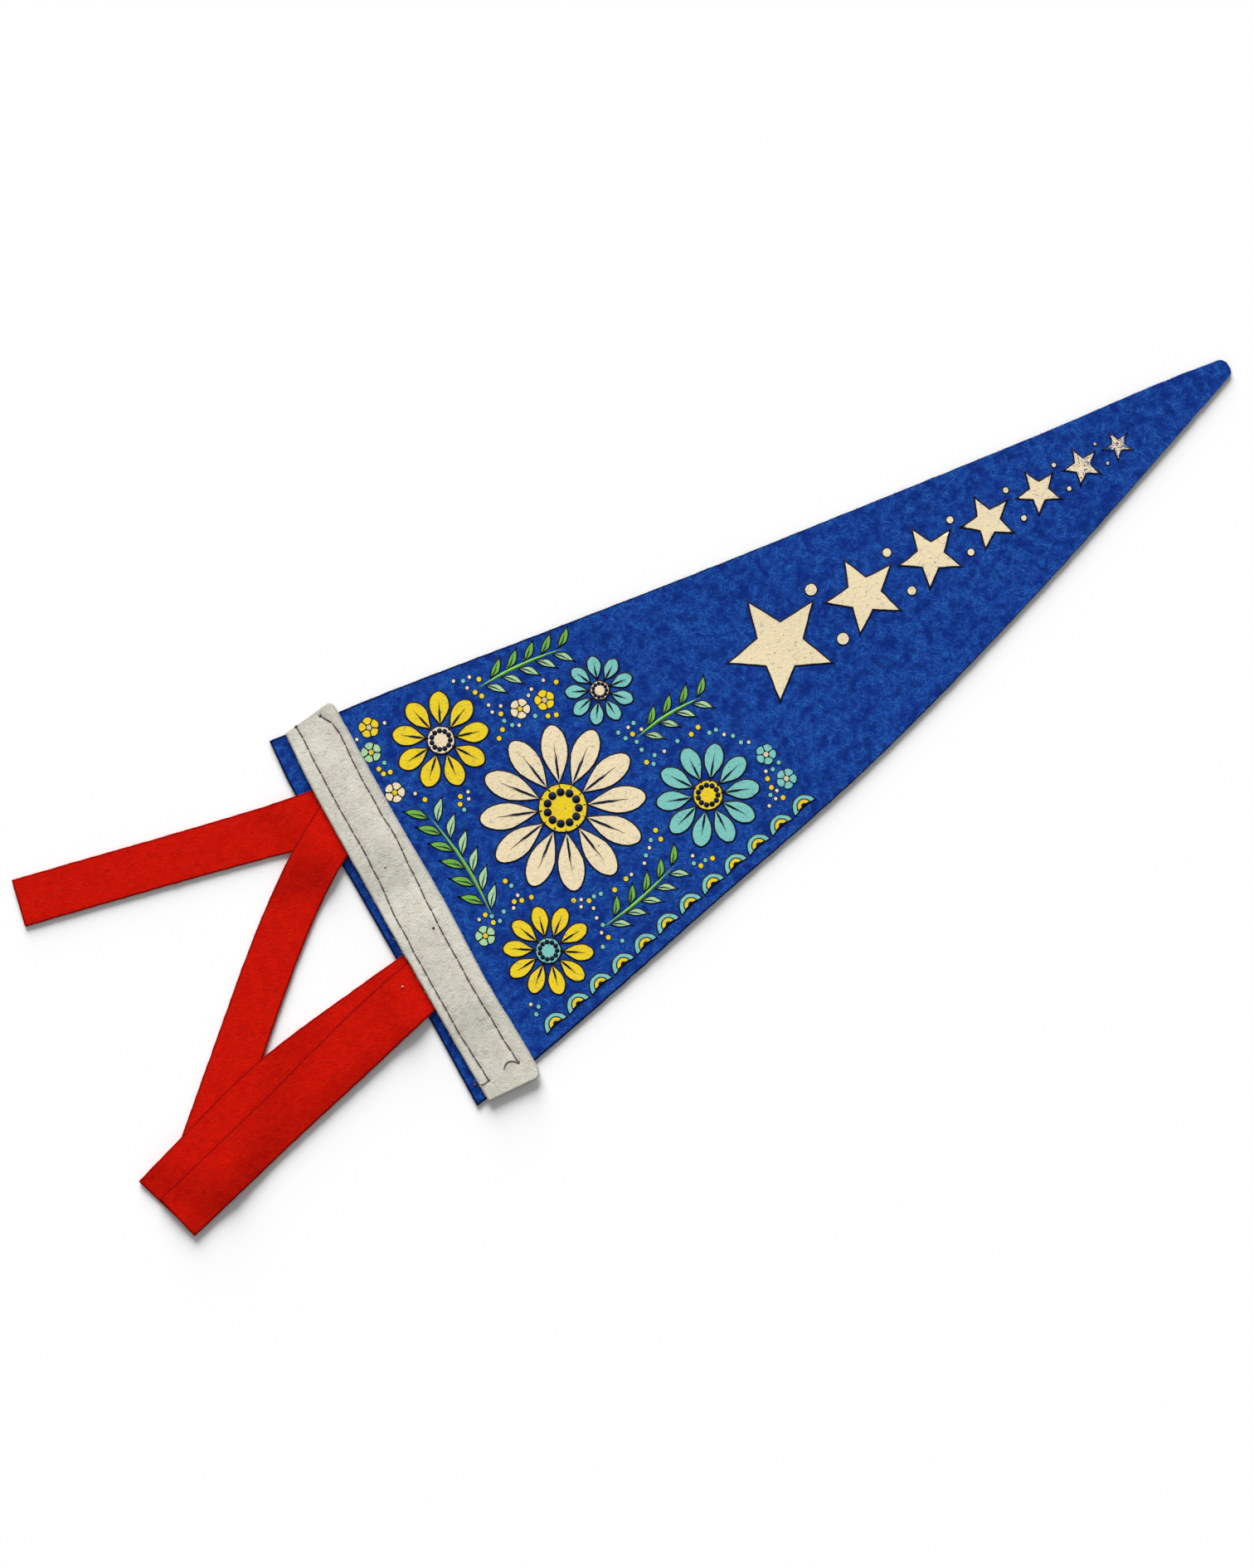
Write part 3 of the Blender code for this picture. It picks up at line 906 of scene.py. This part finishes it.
# %% Knots and thread tails
KNOT = 0.48
TAIL_RADIUS = 0.13
HOIST_TAIL = ((2.9, -58.1), (1.6, -58.25), (0.4, -58.0), (-0.6, -57.4), (-1.4, -57.0))
FLY_TAIL = ((13.1, -58.5), (12.1, -57.3), (10.7, -56.6), (9.7, -56.9), (8.4, -57.8))
KNOTS = (tuple(SEWING["hoist_row"][0]), tuple(SEWING["fly_row"][0]), tuple(SEWING["fly_row"][-1]),
         tuple(SEWING["hoist_row"][-1]), HOIST_TAIL[-1])


def top_of(x, y):
    """Height of the highest felt at a plan position, in millimetres."""
    above = Vector(to_frame(x, y, 20.0))
    hits = [piece.ray_cast(above, Vector((0, 0, -1))) for piece in (field, heading, *ties.values())]
    return max([place.z for hit, place, *_ in hits if hit] + [0.0]) / MM


def small_lump(x, y, size, material, seed):
    """A small uneven lump of thread or lint that is pressed onto the felt."""
    bpy.ops.object.select_all(action="DESELECT")
    bpy.ops.mesh.primitive_ico_sphere_add(subdivisions=3, radius=1.0)
    lump = bpy.context.object
    shape = points_of(lump)
    shape *= 1 + 0.22 * waves(shape[:, 0] + shape[:, 2], shape[:, 1] - shape[:, 2], 1.3, seed=seed)[:, None]
    plan = shape * np.array([size, size * 0.8, size * 0.55])
    set_points(lump, to_frame(x + plan[:, 0], y + plan[:, 1], top_of(x, y) + 0.2 * size + plan[:, 2]))
    lump.data.materials.append(material)
    lump.data.shade_smooth()
    return lump


def thread_tail(name, stops):
    """A short loose end of thread, which lies on the felt beneath it."""
    stops = np.array(stops)
    walked = np.concatenate([[0.0], np.cumsum(np.hypot(*np.diff(stops, axis=0).T))])
    heights = [top_of(*stop) + TAIL_RADIUS for stop in stops]
    rows = np.column_stack([walked / walked[-1], stops, heights])

    def path(share):
        return to_frame(*(smooth(rows, share, column) for column in (1, 2, 3)))[None, :]

    return strands(name, thread_master, path, TAIL_RADIUS * MM, thread, LOBES, PLY_TURNS * math.tau)


loose_ends = [thread_tail("hoist tail", HOIST_TAIL), thread_tail("fly tail", FLY_TAIL)]
knots = [small_lump(*spot, KNOT, thread, seed) for seed, spot in enumerate(KNOTS)]
sewing = joined("sewing_thread", [sewing, *loose_ends, *knots])
print("sewing with its ends:", len(sewing.data.polygons), "faces")

# %% [markdown]
# The design is screen printed: one thin film of ink for each colour, with a dark line round every shape. It
# is a bunch of flowers with leaf sprays beside the heading, a hem of scallops under it, and a row of stars
# that get smaller towards the tip. Ink on felt is never solid. The blue shows through where the
# film is thin, and more of it is rubbed off near the tip, where the flag is handled most. That is one more
# node group, and a mark on the points of the print says how worn each place is.

# %% The ink
INKS = {
    "dark": (0.005, 0.006, 0.022),
    "cream": (0.80, 0.675, 0.43),
    "yellow": (0.80, 0.59, 0.010),
    "green": (0.16, 0.43, 0.05),
    "pale green": (0.38, 0.62, 0.33),
    "teal": (0.19, 0.53, 0.47),
}
ink_group, given, result = new_group(
    "worn ink",
    [("Ink", "NodeSocketColor"), ("Wear", "NodeSocketFloat")],
    [("Color", "NodeSocketColor"), ("Height", "NodeSocketFloat")],
)
where = add(ink_group, "ShaderNodeTexCoord").outputs["Object"]
grain = noise(ink_group, where, 0.8, detail=3.0, distortion=0.5)
speckle = noise(ink_group, where, 0.55, detail=2.0, distortion=0.8)
thin = maths(ink_group, "MULTIPLY", between(ink_group, grain, 0.45, 0.80), 0.16)
gone = between(ink_group, maths(ink_group, "ADD", speckle, given.outputs["Wear"]), 0.66, 0.71)
film = mixed(ink_group, thin, given.outputs["Ink"], BLUE)
ink_group.links.new(mixed(ink_group, gone, film, BLUE), result.inputs["Color"])
ink_group.links.new(maths(ink_group, "SUBTRACT", grain, gone), result.inputs["Height"])


def ink_material(name, colour):
    """One ink on felt."""
    material = bpy.data.materials.new(name + " ink")
    shader = rough_shader(material, 0.85, 0.2)
    tree = material.node_tree
    ink = add(tree, "ShaderNodeGroup", node_tree=ink_group)
    ink.inputs["Ink"].default_value = (*colour, 1.0)
    wear = add(tree, "ShaderNodeAttribute", attribute_name="wear")
    tree.links.new(wear.outputs["Fac"], ink.inputs["Wear"])
    tree.links.new(ink.outputs["Color"], shader.inputs["Base Color"])
    raise_relief(tree, shader, ink.outputs["Height"], 0.4, 0.2)
    return material


inks = {name: ink_material(name, colour) for name, colour in INKS.items()}
print("inks:", list(inks))

# %% [markdown]
# Each printed shape is a flat circle primitive whose points are moved to its outline. Inset then makes the
# dark line: the ring of faces that it leaves takes the dark ink. Outlines are formulas, so that a petal or
# a star of any size can be drawn, and a small waver keeps them from looking machine cut.

# %% Outlines of the printed shapes
DARK_LINE = 0.55
PRINT_WAVER = 0.09
TURNED = (1 - np.cos(np.linspace(0, math.pi, 13))) / 2     # shares of a length, closer at both ends


def both_sides(length, middle, half):
    """The closed outline round a middle line with that half width."""
    along = length * np.concatenate([TURNED, TURNED[-2:0:-1]])
    across = np.concatenate([middle - half, (middle + half)[-2:0:-1]])
    return np.stack([along, across], -1)


def petal(length, width):
    """Narrow at its foot and round at its end."""
    rising = np.sin(math.pi / 2 * np.minimum(TURNED / 0.6, 1.0)) ** 1.3
    closing = np.sqrt(np.clip(1 - ((TURNED - 0.6) / 0.4) ** 2, 0.0, 1.0))
    return both_sides(length, 0.0, width / 2 * np.where(TURNED < 0.6, rising, closing))


def leaf(length, width, bend):
    """Pointed at both ends, with a bent middle line."""
    half = width / 2 * np.sin(math.pi * TURNED ** 0.9) ** 1.1
    return both_sides(length, bend * np.sin(math.pi * TURNED), half)


def disc(radius, count=30):
    turns = np.linspace(0, math.tau, count, endpoint=False)
    return radius * np.stack([np.cos(turns), np.sin(turns)], -1)


def star(radius, hollow=0.44, steps=5):
    """Five tips, the first one towards +Y, with straight sides cut into a few steps."""
    turns = math.pi / 2 + np.arange(11) * math.pi / 5
    corners = np.where(np.arange(11) % 2 == 0, radius, radius * hollow)[:, None]
    corners = corners * np.stack([np.cos(turns), np.sin(turns)], -1)
    shares = np.arange(steps) / steps
    return np.concatenate([a + (b - a) * shares[:, None] for a, b in zip(corners, corners[1:])])


def scallop(radius):
    """Half a disc on a shallow hollow foot."""
    turns = np.linspace(0, math.pi, 15)
    arc = radius * np.stack([np.cos(turns), 1.1 * np.sin(turns)], -1)
    foot = np.linspace(-radius, radius, 7)[1:-1]
    return np.concatenate([arc, np.stack([foot, 0.12 * radius * np.cos(foot / radius * math.pi / 2)], -1)])


def flat_shape(outline, ink, line=DARK_LINE, seed=0):
    """One printed shape at the plan's zero point, as a flat face with a dark line inside its outline."""
    waver = PRINT_WAVER * np.stack([waves(*outline.T, 2.4, seed + k) for k in (50, 90)], -1)
    outline = outline + waver * min(1.0, np.ptp(outline, axis=0).max() / 6)
    bpy.ops.object.select_all(action="DESELECT")
    bpy.ops.mesh.primitive_circle_add(vertices=len(outline), radius=MM, fill_type="NGON")
    shape = bpy.context.object
    set_points(shape, np.column_stack([outline, np.zeros(len(outline))]) * MM)
    if shape.data.polygons[0].normal.z < 0:
        shape.data.flip_normals()
    if line:
        bpy.ops.object.mode_set(mode="EDIT")
        bpy.ops.mesh.select_all(action="SELECT")
        bpy.ops.mesh.inset(thickness=line * MM, use_even_offset=True)
        bpy.ops.object.mode_set(mode="OBJECT")
    names = list(inks)
    for material in inks.values():
        shape.data.materials.append(material)
    for face in shape.data.polygons:
        face.material_index = names.index(ink if face.select or not line else "dark")
    return shape


def stamped(master, places):
    """Copies of a shape at places in the plan. Columns: x, y, turn in degrees."""
    places = np.array(places, float)
    turn = np.radians(places[:, 2])[:, None]
    flat = points_of(master) / MM
    x = places[:, :1] + flat[:, 0] * np.cos(turn) - flat[:, 1] * np.sin(turn)
    y = places[:, 1:2] + flat[:, 0] * np.sin(turn) + flat[:, 1] * np.cos(turn)
    copies = many("stamped", master, np.stack([x, y, np.zeros_like(x)], -1) * MM)
    bpy.data.objects.remove(master)
    return copies


print("a star has", len(star(10.0)), "points, a petal", len(petal(10.0, 5.0)))

# %% [markdown]
# The layout is three short tables. A flower is a ring of petals, a centre laid over their feet, fine
# strokes along each petal and dots round the centre. A spray is a stem with pairs of leaves. Shapes that
# overlap are kept on three levels, so that the later colour always lies on the earlier one.

# %% Flowers and sprays
# columns: x, y, radius, petals, petal ink, centre ink, turn
FLOWERS = (
    (66.0, -2.0, 25.5, 12, "cream", "yellow", 5.0),
    (46.5, 35.0, 15.0, 9, "yellow", "cream", 20.0),
    (39.0, -35.4, 14.0, 10, "yellow", "teal", 0.0),
    (104.5, -22.5, 16.0, 10, "teal", "yellow", 12.0),
    (94.5, 21.5, 10.8, 9, "teal", "cream", 30.0),
)
# columns: start, end, bow, pairs of leaves, leaf length
SPRAYS = (
    ((64.5, 42.0), (92.0, 38.0), 0.8, 5, 7.6),
    ((30.5, -18.0), (31.0, 18.5), -1.5, 6, 8.6),
    ((56.5, -38.5), (85.0, -34.5), -1.0, 5, 7.4),
    ((96.0, 3.5), (119.0, 3.0), 1.0, 4, 7.4),
)
LEAF_LEAN = 42.0        # degrees between a leaf and its stem
CENTRE_SHARE = 0.30     # a flower's centre, as a share of its radius
FOOT_SHARE = 0.80       # a petal starts at this share of the centre's radius
WIDEST_AT = 0.70        # and is widest at this share of the flower's radius
PETAL_FILL = 0.95       # how much of its room it fills there
levels = {"film": [], "centres": [], "lines": []}
taken = []              # columns: x, y, radius that a motif fills


def ring(x, y, radius, count, turn):
    """Places round a circle, each turned outwards."""
    ways = turn + 360.0 * np.arange(count) / count
    angles = np.radians(ways)
    return np.column_stack([x + radius * np.cos(angles), y + radius * np.sin(angles), ways])


def draw_flower(x, y, radius, count, petal_ink, centre_ink, turn):
    """Petals, a centre, strokes along the petals and dots round the centre."""
    centre = CENTRE_SHARE * radius
    foot = FOOT_SHARE * centre
    length = radius - foot
    width = 2 * WIDEST_AT * radius * math.sin(math.pi / count) * PETAL_FILL
    levels["film"].append(stamped(flat_shape(petal(length, width), petal_ink), ring(x, y, foot, count, turn)))
    levels["centres"].append(stamped(flat_shape(disc(centre), centre_ink), [(x, y, 0.0)]))
    for lean, reach, out in ((0.0, 0.62, 0.0), (9.0, 0.42, 1.0), (-9.0, 0.42, 2.0)):
        stroke = flat_shape(leaf(reach * length, 0.36, 0.0), "dark", line=0, seed=int(out))
        shift = lean / count * 0.9
        spots = ring(x, y, centre + 0.3, count, turn + shift)
        spots[:, 2] += shift
        levels["lines"].append(stamped(stroke, spots))
    dots = flat_shape(disc(0.045 * radius + 0.12, 10), "dark", line=0)
    levels["lines"].append(stamped(dots, ring(x, y, 0.62 * centre, 11, 0.0)))
    taken.append((x, y, radius + 1.4))


def draw_spray(start, end, bow, pairs, length):
    """A bent stem with pairs of leaves, green and pale green by turns."""
    start, end = np.array(start), np.array(end)
    along = end - start
    across = np.array([-along[1], along[0]]) / np.hypot(*along)
    way = math.degrees(math.atan2(along[1], along[0]))
    stem = flat_shape(leaf(np.hypot(*along), 1.0, bow), "green", line=0)
    levels["film"].append(stamped(stem, [(*start, way)]))
    for side, ink in ((1, "green"), (-1, "pale green")):
        places = []
        for k in range(pairs):
            share = (k + 0.55 + 0.2 * side) / pairs
            spot = start + along * share + across * (bow * math.sin(math.pi * share) + side * 0.5)
            places.append((*spot, way + side * LEAF_LEAN))
            middle = spot + length / 2 * np.array([math.cos(math.radians(places[-1][2])),
                                                   math.sin(math.radians(places[-1][2]))])
            taken.append((*middle, length / 2))
        blade = flat_shape(leaf(length, 0.36 * length, -0.5 * side), ink, line=0.42, seed=side + 2)
        levels["film"].append(stamped(blade, places))
        rib = flat_shape(leaf(0.7 * length, 0.34, -0.4 * side), "dark", line=0)
        levels["lines"].append(stamped(rib, places))


for row in FLOWERS:
    draw_flower(*row)
for row in SPRAYS:
    draw_spray(*row)
print(len(FLOWERS), "flowers and", len(SPRAYS), "sprays")

# %% Scallops, beads and stars
SCALLOP = 4.2
SCALLOP_STEP = 8.9
SCALLOP_MARGIN = 3.4        # from the field's lower edge
SCALLOP_ENDS = (29.0, 132.0)
BLOSSOMS = 16
BLOSSOM_RADIUS = 3.3
BLOSSOM_INKS = (("yellow", "cream"), ("cream", "yellow"), ("pale green", "yellow"), ("teal", "cream"))
BEADS = 110
BEAD_SIZES = (("yellow", 0.95), ("cream", 0.75), ("teal", 0.85))
BEAD_GROUND = ((25.5, 128.0), (-50.0, 50.0))
STARS = (               # columns: x, y, radius, turn
    (147.0, 3.0, 17.5, 3.0), (176.5, 2.2, 12.9, -3.0), (199.5, 1.0, 10.7, 2.0), (219.6, 0.2, 9.3, -3.0),
    (237.2, -0.6, 7.9, 3.0), (252.2, -1.3, 6.7, -2.0), (264.6, -1.9, 5.3, 3.0),
)

x = np.arange(SCALLOP_ENDS[0], SCALLOP_ENDS[1], SCALLOP_STEP)
slope = np.degrees(np.arctan((smooth(LOWER_EDGE, x + 1) - smooth(LOWER_EDGE, x - 1)) / 2))
hem = np.column_stack([x, smooth(LOWER_EDGE, x) + SCALLOP_MARGIN, slope])
levels["film"].append(stamped(flat_shape(scallop(SCALLOP), "teal", line=0.45), hem))
levels["centres"].append(stamped(flat_shape(scallop(0.58 * SCALLOP), "yellow", line=0.38), hem + (0, 0.6, 0)))
levels["lines"].append(stamped(flat_shape(scallop(0.22 * SCALLOP), "dark", line=0), hem + (0, 0.9, 0)))
taken += [(place[0], place[1] + 1.5, SCALLOP + 0.8) for place in hem]


def free_spots(draw, count, clearance):
    """Random places in the picture's ground that keep clear of every motif so far."""
    spots = []
    for _ in range(count * 400):
        x, y = draw.uniform(*BEAD_GROUND[0]), draw.uniform(*BEAD_GROUND[1])
        margin = 3.0 + clearance
        inside = smooth(LOWER_EDGE, x) + margin < y < smooth(TOP_EDGE, x) - margin
        clear = all(math.hypot(x - a, y - b) > r + clearance for a, b, r in taken)
        if inside and clear and x + 0.73 * y < 112 and len(spots) < count:
            spots.append((x, y))
            taken.append((x, y, clearance))
    return spots


draw = np.random.default_rng(5)
for k, (x, y) in enumerate(free_spots(draw, BLOSSOMS, BLOSSOM_RADIUS + 0.3)):
    ink, centre_ink = BLOSSOM_INKS[k % len(BLOSSOM_INKS)]
    blade = flat_shape(petal(BLOSSOM_RADIUS * 0.92, BLOSSOM_RADIUS * 0.98), ink, line=0.30, seed=k)
    levels["film"].append(stamped(blade, ring(x, y, BLOSSOM_RADIUS * 0.08, 5, 37.0 * k)))
    middle = flat_shape(disc(BLOSSOM_RADIUS * 0.3, 12), centre_ink, line=0.24)
    levels["centres"].append(stamped(middle, [(x, y, 0)]))
beads = np.column_stack([free_spots(draw, BEADS, 0.95), np.zeros(BEADS)])
for k, (ink, size) in enumerate(BEAD_SIZES):
    levels["film"].append(stamped(flat_shape(disc(size, 12), ink, line=0.22), beads[k::len(BEAD_SIZES)]))

star_films = []
for k, (x, y, radius, turn) in enumerate(STARS):
    star_films.append(stamped(flat_shape(star(radius), "cream", line=0.6, seed=k), [(x, y, turn)]))
for (x, y, radius, _), (x2, y2, radius2, _) in zip(STARS, STARS[1:]):
    middle, size = (x + radius * 0.96 + x2 - radius2 * 0.96) / 2, (radius + radius2) / 2
    bead = flat_shape(disc(0.14 * size, 16), "cream", line=0.4)
    star_films.append(stamped(bead, [(middle, (y + y2) / 2 + up * 0.66 * size, 0.0) for up in (0.95, -0.8)]))
print(len(hem), "scallops,", BEADS, "beads and", len(STARS), "stars")

# %% [markdown]
# The flat shapes are still at the plan's zero height. Bisect cuts them along a grid of lines a few
# millimetres apart, so that they can follow the field's slow waves. Then every point goes to the height of
# the felt under it, and Solidify gives the film its thickness, most of it soaked into the felt.

# %% Lay the print on the field
PRINT_CELL = 6.0
FILM = 0.10                                                 # thickness of the ink
FILM_LEVELS = {"film": 0.035, "centres": 0.07, "lines": 0.105}     # height of its face over the felt
WORN_FROM, WORN_TO = 222.0, 272.0


def print_piece(name, shapes, lift):
    """Joins flat shapes and lays them on the field."""
    piece = joined(name, shapes)
    select_only(piece)
    low, high = points_of(piece).min(0) / MM, points_of(piece).max(0) / MM
    bpy.ops.object.mode_set(mode="EDIT")
    for axis, normal in ((0, (1, 0, 0)), (1, (0, 1, 0))):
        for stop in np.arange(low[axis] + PRINT_CELL, high[axis], PRINT_CELL):
            bpy.ops.mesh.select_all(action="SELECT")
            bpy.ops.mesh.bisect(plane_co=np.array(normal) * stop * MM, plane_no=normal)
    bpy.ops.object.mode_set(mode="OBJECT")
    x, y = points_of(piece)[:, 0] / MM, points_of(piece)[:, 1] / MM
    set_points(piece, to_frame(x, y, field_lift(x, y) + FELT + lift))
    mark(piece, "wear", -0.02 + 0.18 * ease(x, WORN_FROM, WORN_TO))
    solid = piece.modifiers.new("ink film", "SOLIDIFY")
    solid.thickness = FILM * MM
    solid.offset = -1.0
    piece.modifiers.new("plain triangles", "TRIANGULATE")
    apply_all(piece)
    return piece


prints = [print_piece("print_" + name, levels[name], FILM_LEVELS[name]) for name in levels]
prints.append(print_piece("print_stars", star_films, FILM_LEVELS["film"]))
for piece in prints:
    print(piece.name, len(piece.data.polygons), "triangles")

# %% [markdown]
# Felt always has loose fibres. They lie over the face in small arcs and stand out a little along each cut
# edge, which softens the outline. One fibre is a thin closed strand of three sides. Its copies start at
# random places on the piece, which a fixed seed keeps the same at each run.

# %% Loose fibres
FIBRE_THICK = 0.020         # radius at the middle, millimetres
fibre_master = strand_master(sides=3, rings=3)


def fibre_material(name, colour):
    material = bpy.data.materials.new(name)
    shader = rough_shader(material, 0.9, 0.1)
    shader.inputs["Base Color"].default_value = (*colour, 1.0)
    tree = material.node_tree
    where = add(tree, "ShaderNodeTexCoord").outputs["Object"]
    shade = between(tree, noise(tree, where, 3.0), 0.3, 0.7)
    tree.links.new(mixed(tree, shade, tuple(0.7 * c for c in colour), colour), shader.inputs["Base Color"])
    return material


def fuzz(name, piece, count, material, seed, edge_share=0.3):
    """Loose fibres on a felt piece: most on its upper face, some along its cut edges."""
    draw = np.random.default_rng(seed)
    mesh = piece.data
    mesh.calc_loop_triangles()
    triangles = np.array([t.vertices for t in mesh.loop_triangles])
    corners = points_of(piece)[triangles]
    normal = np.cross(corners[:, 1] - corners[:, 0], corners[:, 2] - corners[:, 0])
    area = np.linalg.norm(normal, axis=1) / 2
    normal /= np.maximum(2 * area[:, None], 1e-15)
    edge = np.abs(normal[:, 2]) < 0.6
    weight = area * np.where(edge, edge_share / area[edge].sum(), 1 / area[~edge & (normal[:, 2] > 0)].sum())
    weight *= edge | (normal[:, 2] > 0)
    chosen = draw.choice(len(area), count, p=weight / weight.sum())
    share = draw.dirichlet((1, 1, 1), count)
    root = (corners[chosen] * share[..., None]).sum(1)
    out = normal[chosen]
    drift = draw.normal(size=(count, 3))
    drift -= (drift * out).sum(1, keepdims=True) * out
    drift /= np.linalg.norm(drift, axis=1, keepdims=True)
    curl = np.cross(out, drift) * draw.uniform(-0.45, 0.45, (count, 1))
    length = draw.uniform(0.9, 2.6, (count, 1)) * MM * np.where(edge[chosen], 0.5, 1.0)[:, None]
    height = draw.uniform(0.04, 0.16, (count, 1)) * MM * np.where(edge[chosen], 1.8, 1.0)[:, None]

    def path(along):
        bow = math.sin(math.pi * along)
        points = root + (drift * (along - 0.5) + curl * bow) * length + out * (height * bow - 0.02 * MM)
        points[:, 2] = np.maximum(points[:, 2], 0.06 * MM)
        return points

    return strands(name, fibre_master, path, FIBRE_THICK * MM, material)


blue_fibre = fibre_material("blue fibre", (0.012, 0.10, 0.40))
red_fibre = fibre_material("red fibre", (0.62, 0.020, 0.008))
grey_fibre = fibre_material("grey fibre", (0.66, 0.65, 0.58))
fluff = {
    "felt_field": fuzz("fibres_field", field, 5200, blue_fibre, seed=61),
    "heading": fuzz("fibres_heading", heading, 1100, grey_fibre, seed=62),
    "tie_upper": fuzz("fibres_tie_upper", ties["tie_upper"], 1500, red_fibre, seed=63),
    "tie_lower": fuzz("fibres_tie_lower", ties["tie_lower"], 1500, red_fibre, seed=64),
}
for master in (fibre_master, thread_master):
    bpy.data.objects.remove(master)
print("fibres:", {name: len(piece.data.polygons) for name, piece in fluff.items()}, "faces")

# %% [markdown]
# A used flag also carries a little lint: a dark fleck and a faint one on the heading, and a pale one on
# the lower tie.

# %% Lint
def lint_material(name, colour):
    material = bpy.data.materials.new(name)
    rough_shader(material, 0.9, 0.1).inputs["Base Color"].default_value = (*colour, 1.0)
    return material


dark_lint = lint_material("dark lint", (0.06, 0.04, 0.03))
tan_lint = lint_material("tan lint", (0.42, 0.34, 0.26))
pale_lint = lint_material("pale lint", (0.75, 0.25, 0.20))
flecks = [small_lump(14.0, -10.9, 0.42, dark_lint, 71), small_lump(11.9, 12.4, 0.36, tan_lint, 72)]
lint = joined("lint_heading", flecks)
lint_tie = joined("lint_tie", [small_lump(-3.4, -20.6, 0.38, pale_lint, 73)])
print("lint:", len(lint.data.polygons) + len(lint_tie.data.polygons), "faces")

# %% [markdown]
# Last, every piece is tied to the frame on one root empty that it rides on, and the solid that each felt
# sheet stands for is hidden.

# %% Tie the pieces to the frame
SHEETS = (
    (field, "felt_field", "blue_felt"),
    (heading, "heading", "grey_felt"),
    (ties["tie_upper"], "tie_upper", "red_felt"),
    (ties["tie_lower"], "tie_lower", "red_felt"),
)
for piece, node, slot in SHEETS:
    for rider in (piece, fluff[node]):
        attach(rider, "root")
    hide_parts(node)
for piece, slot in ((sewing, "sewing_thread"), (lint, "grey_felt"), (lint_tie, "red_felt"),
                    *((film, "print_ink") for film in prints)):
    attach(piece, "root")
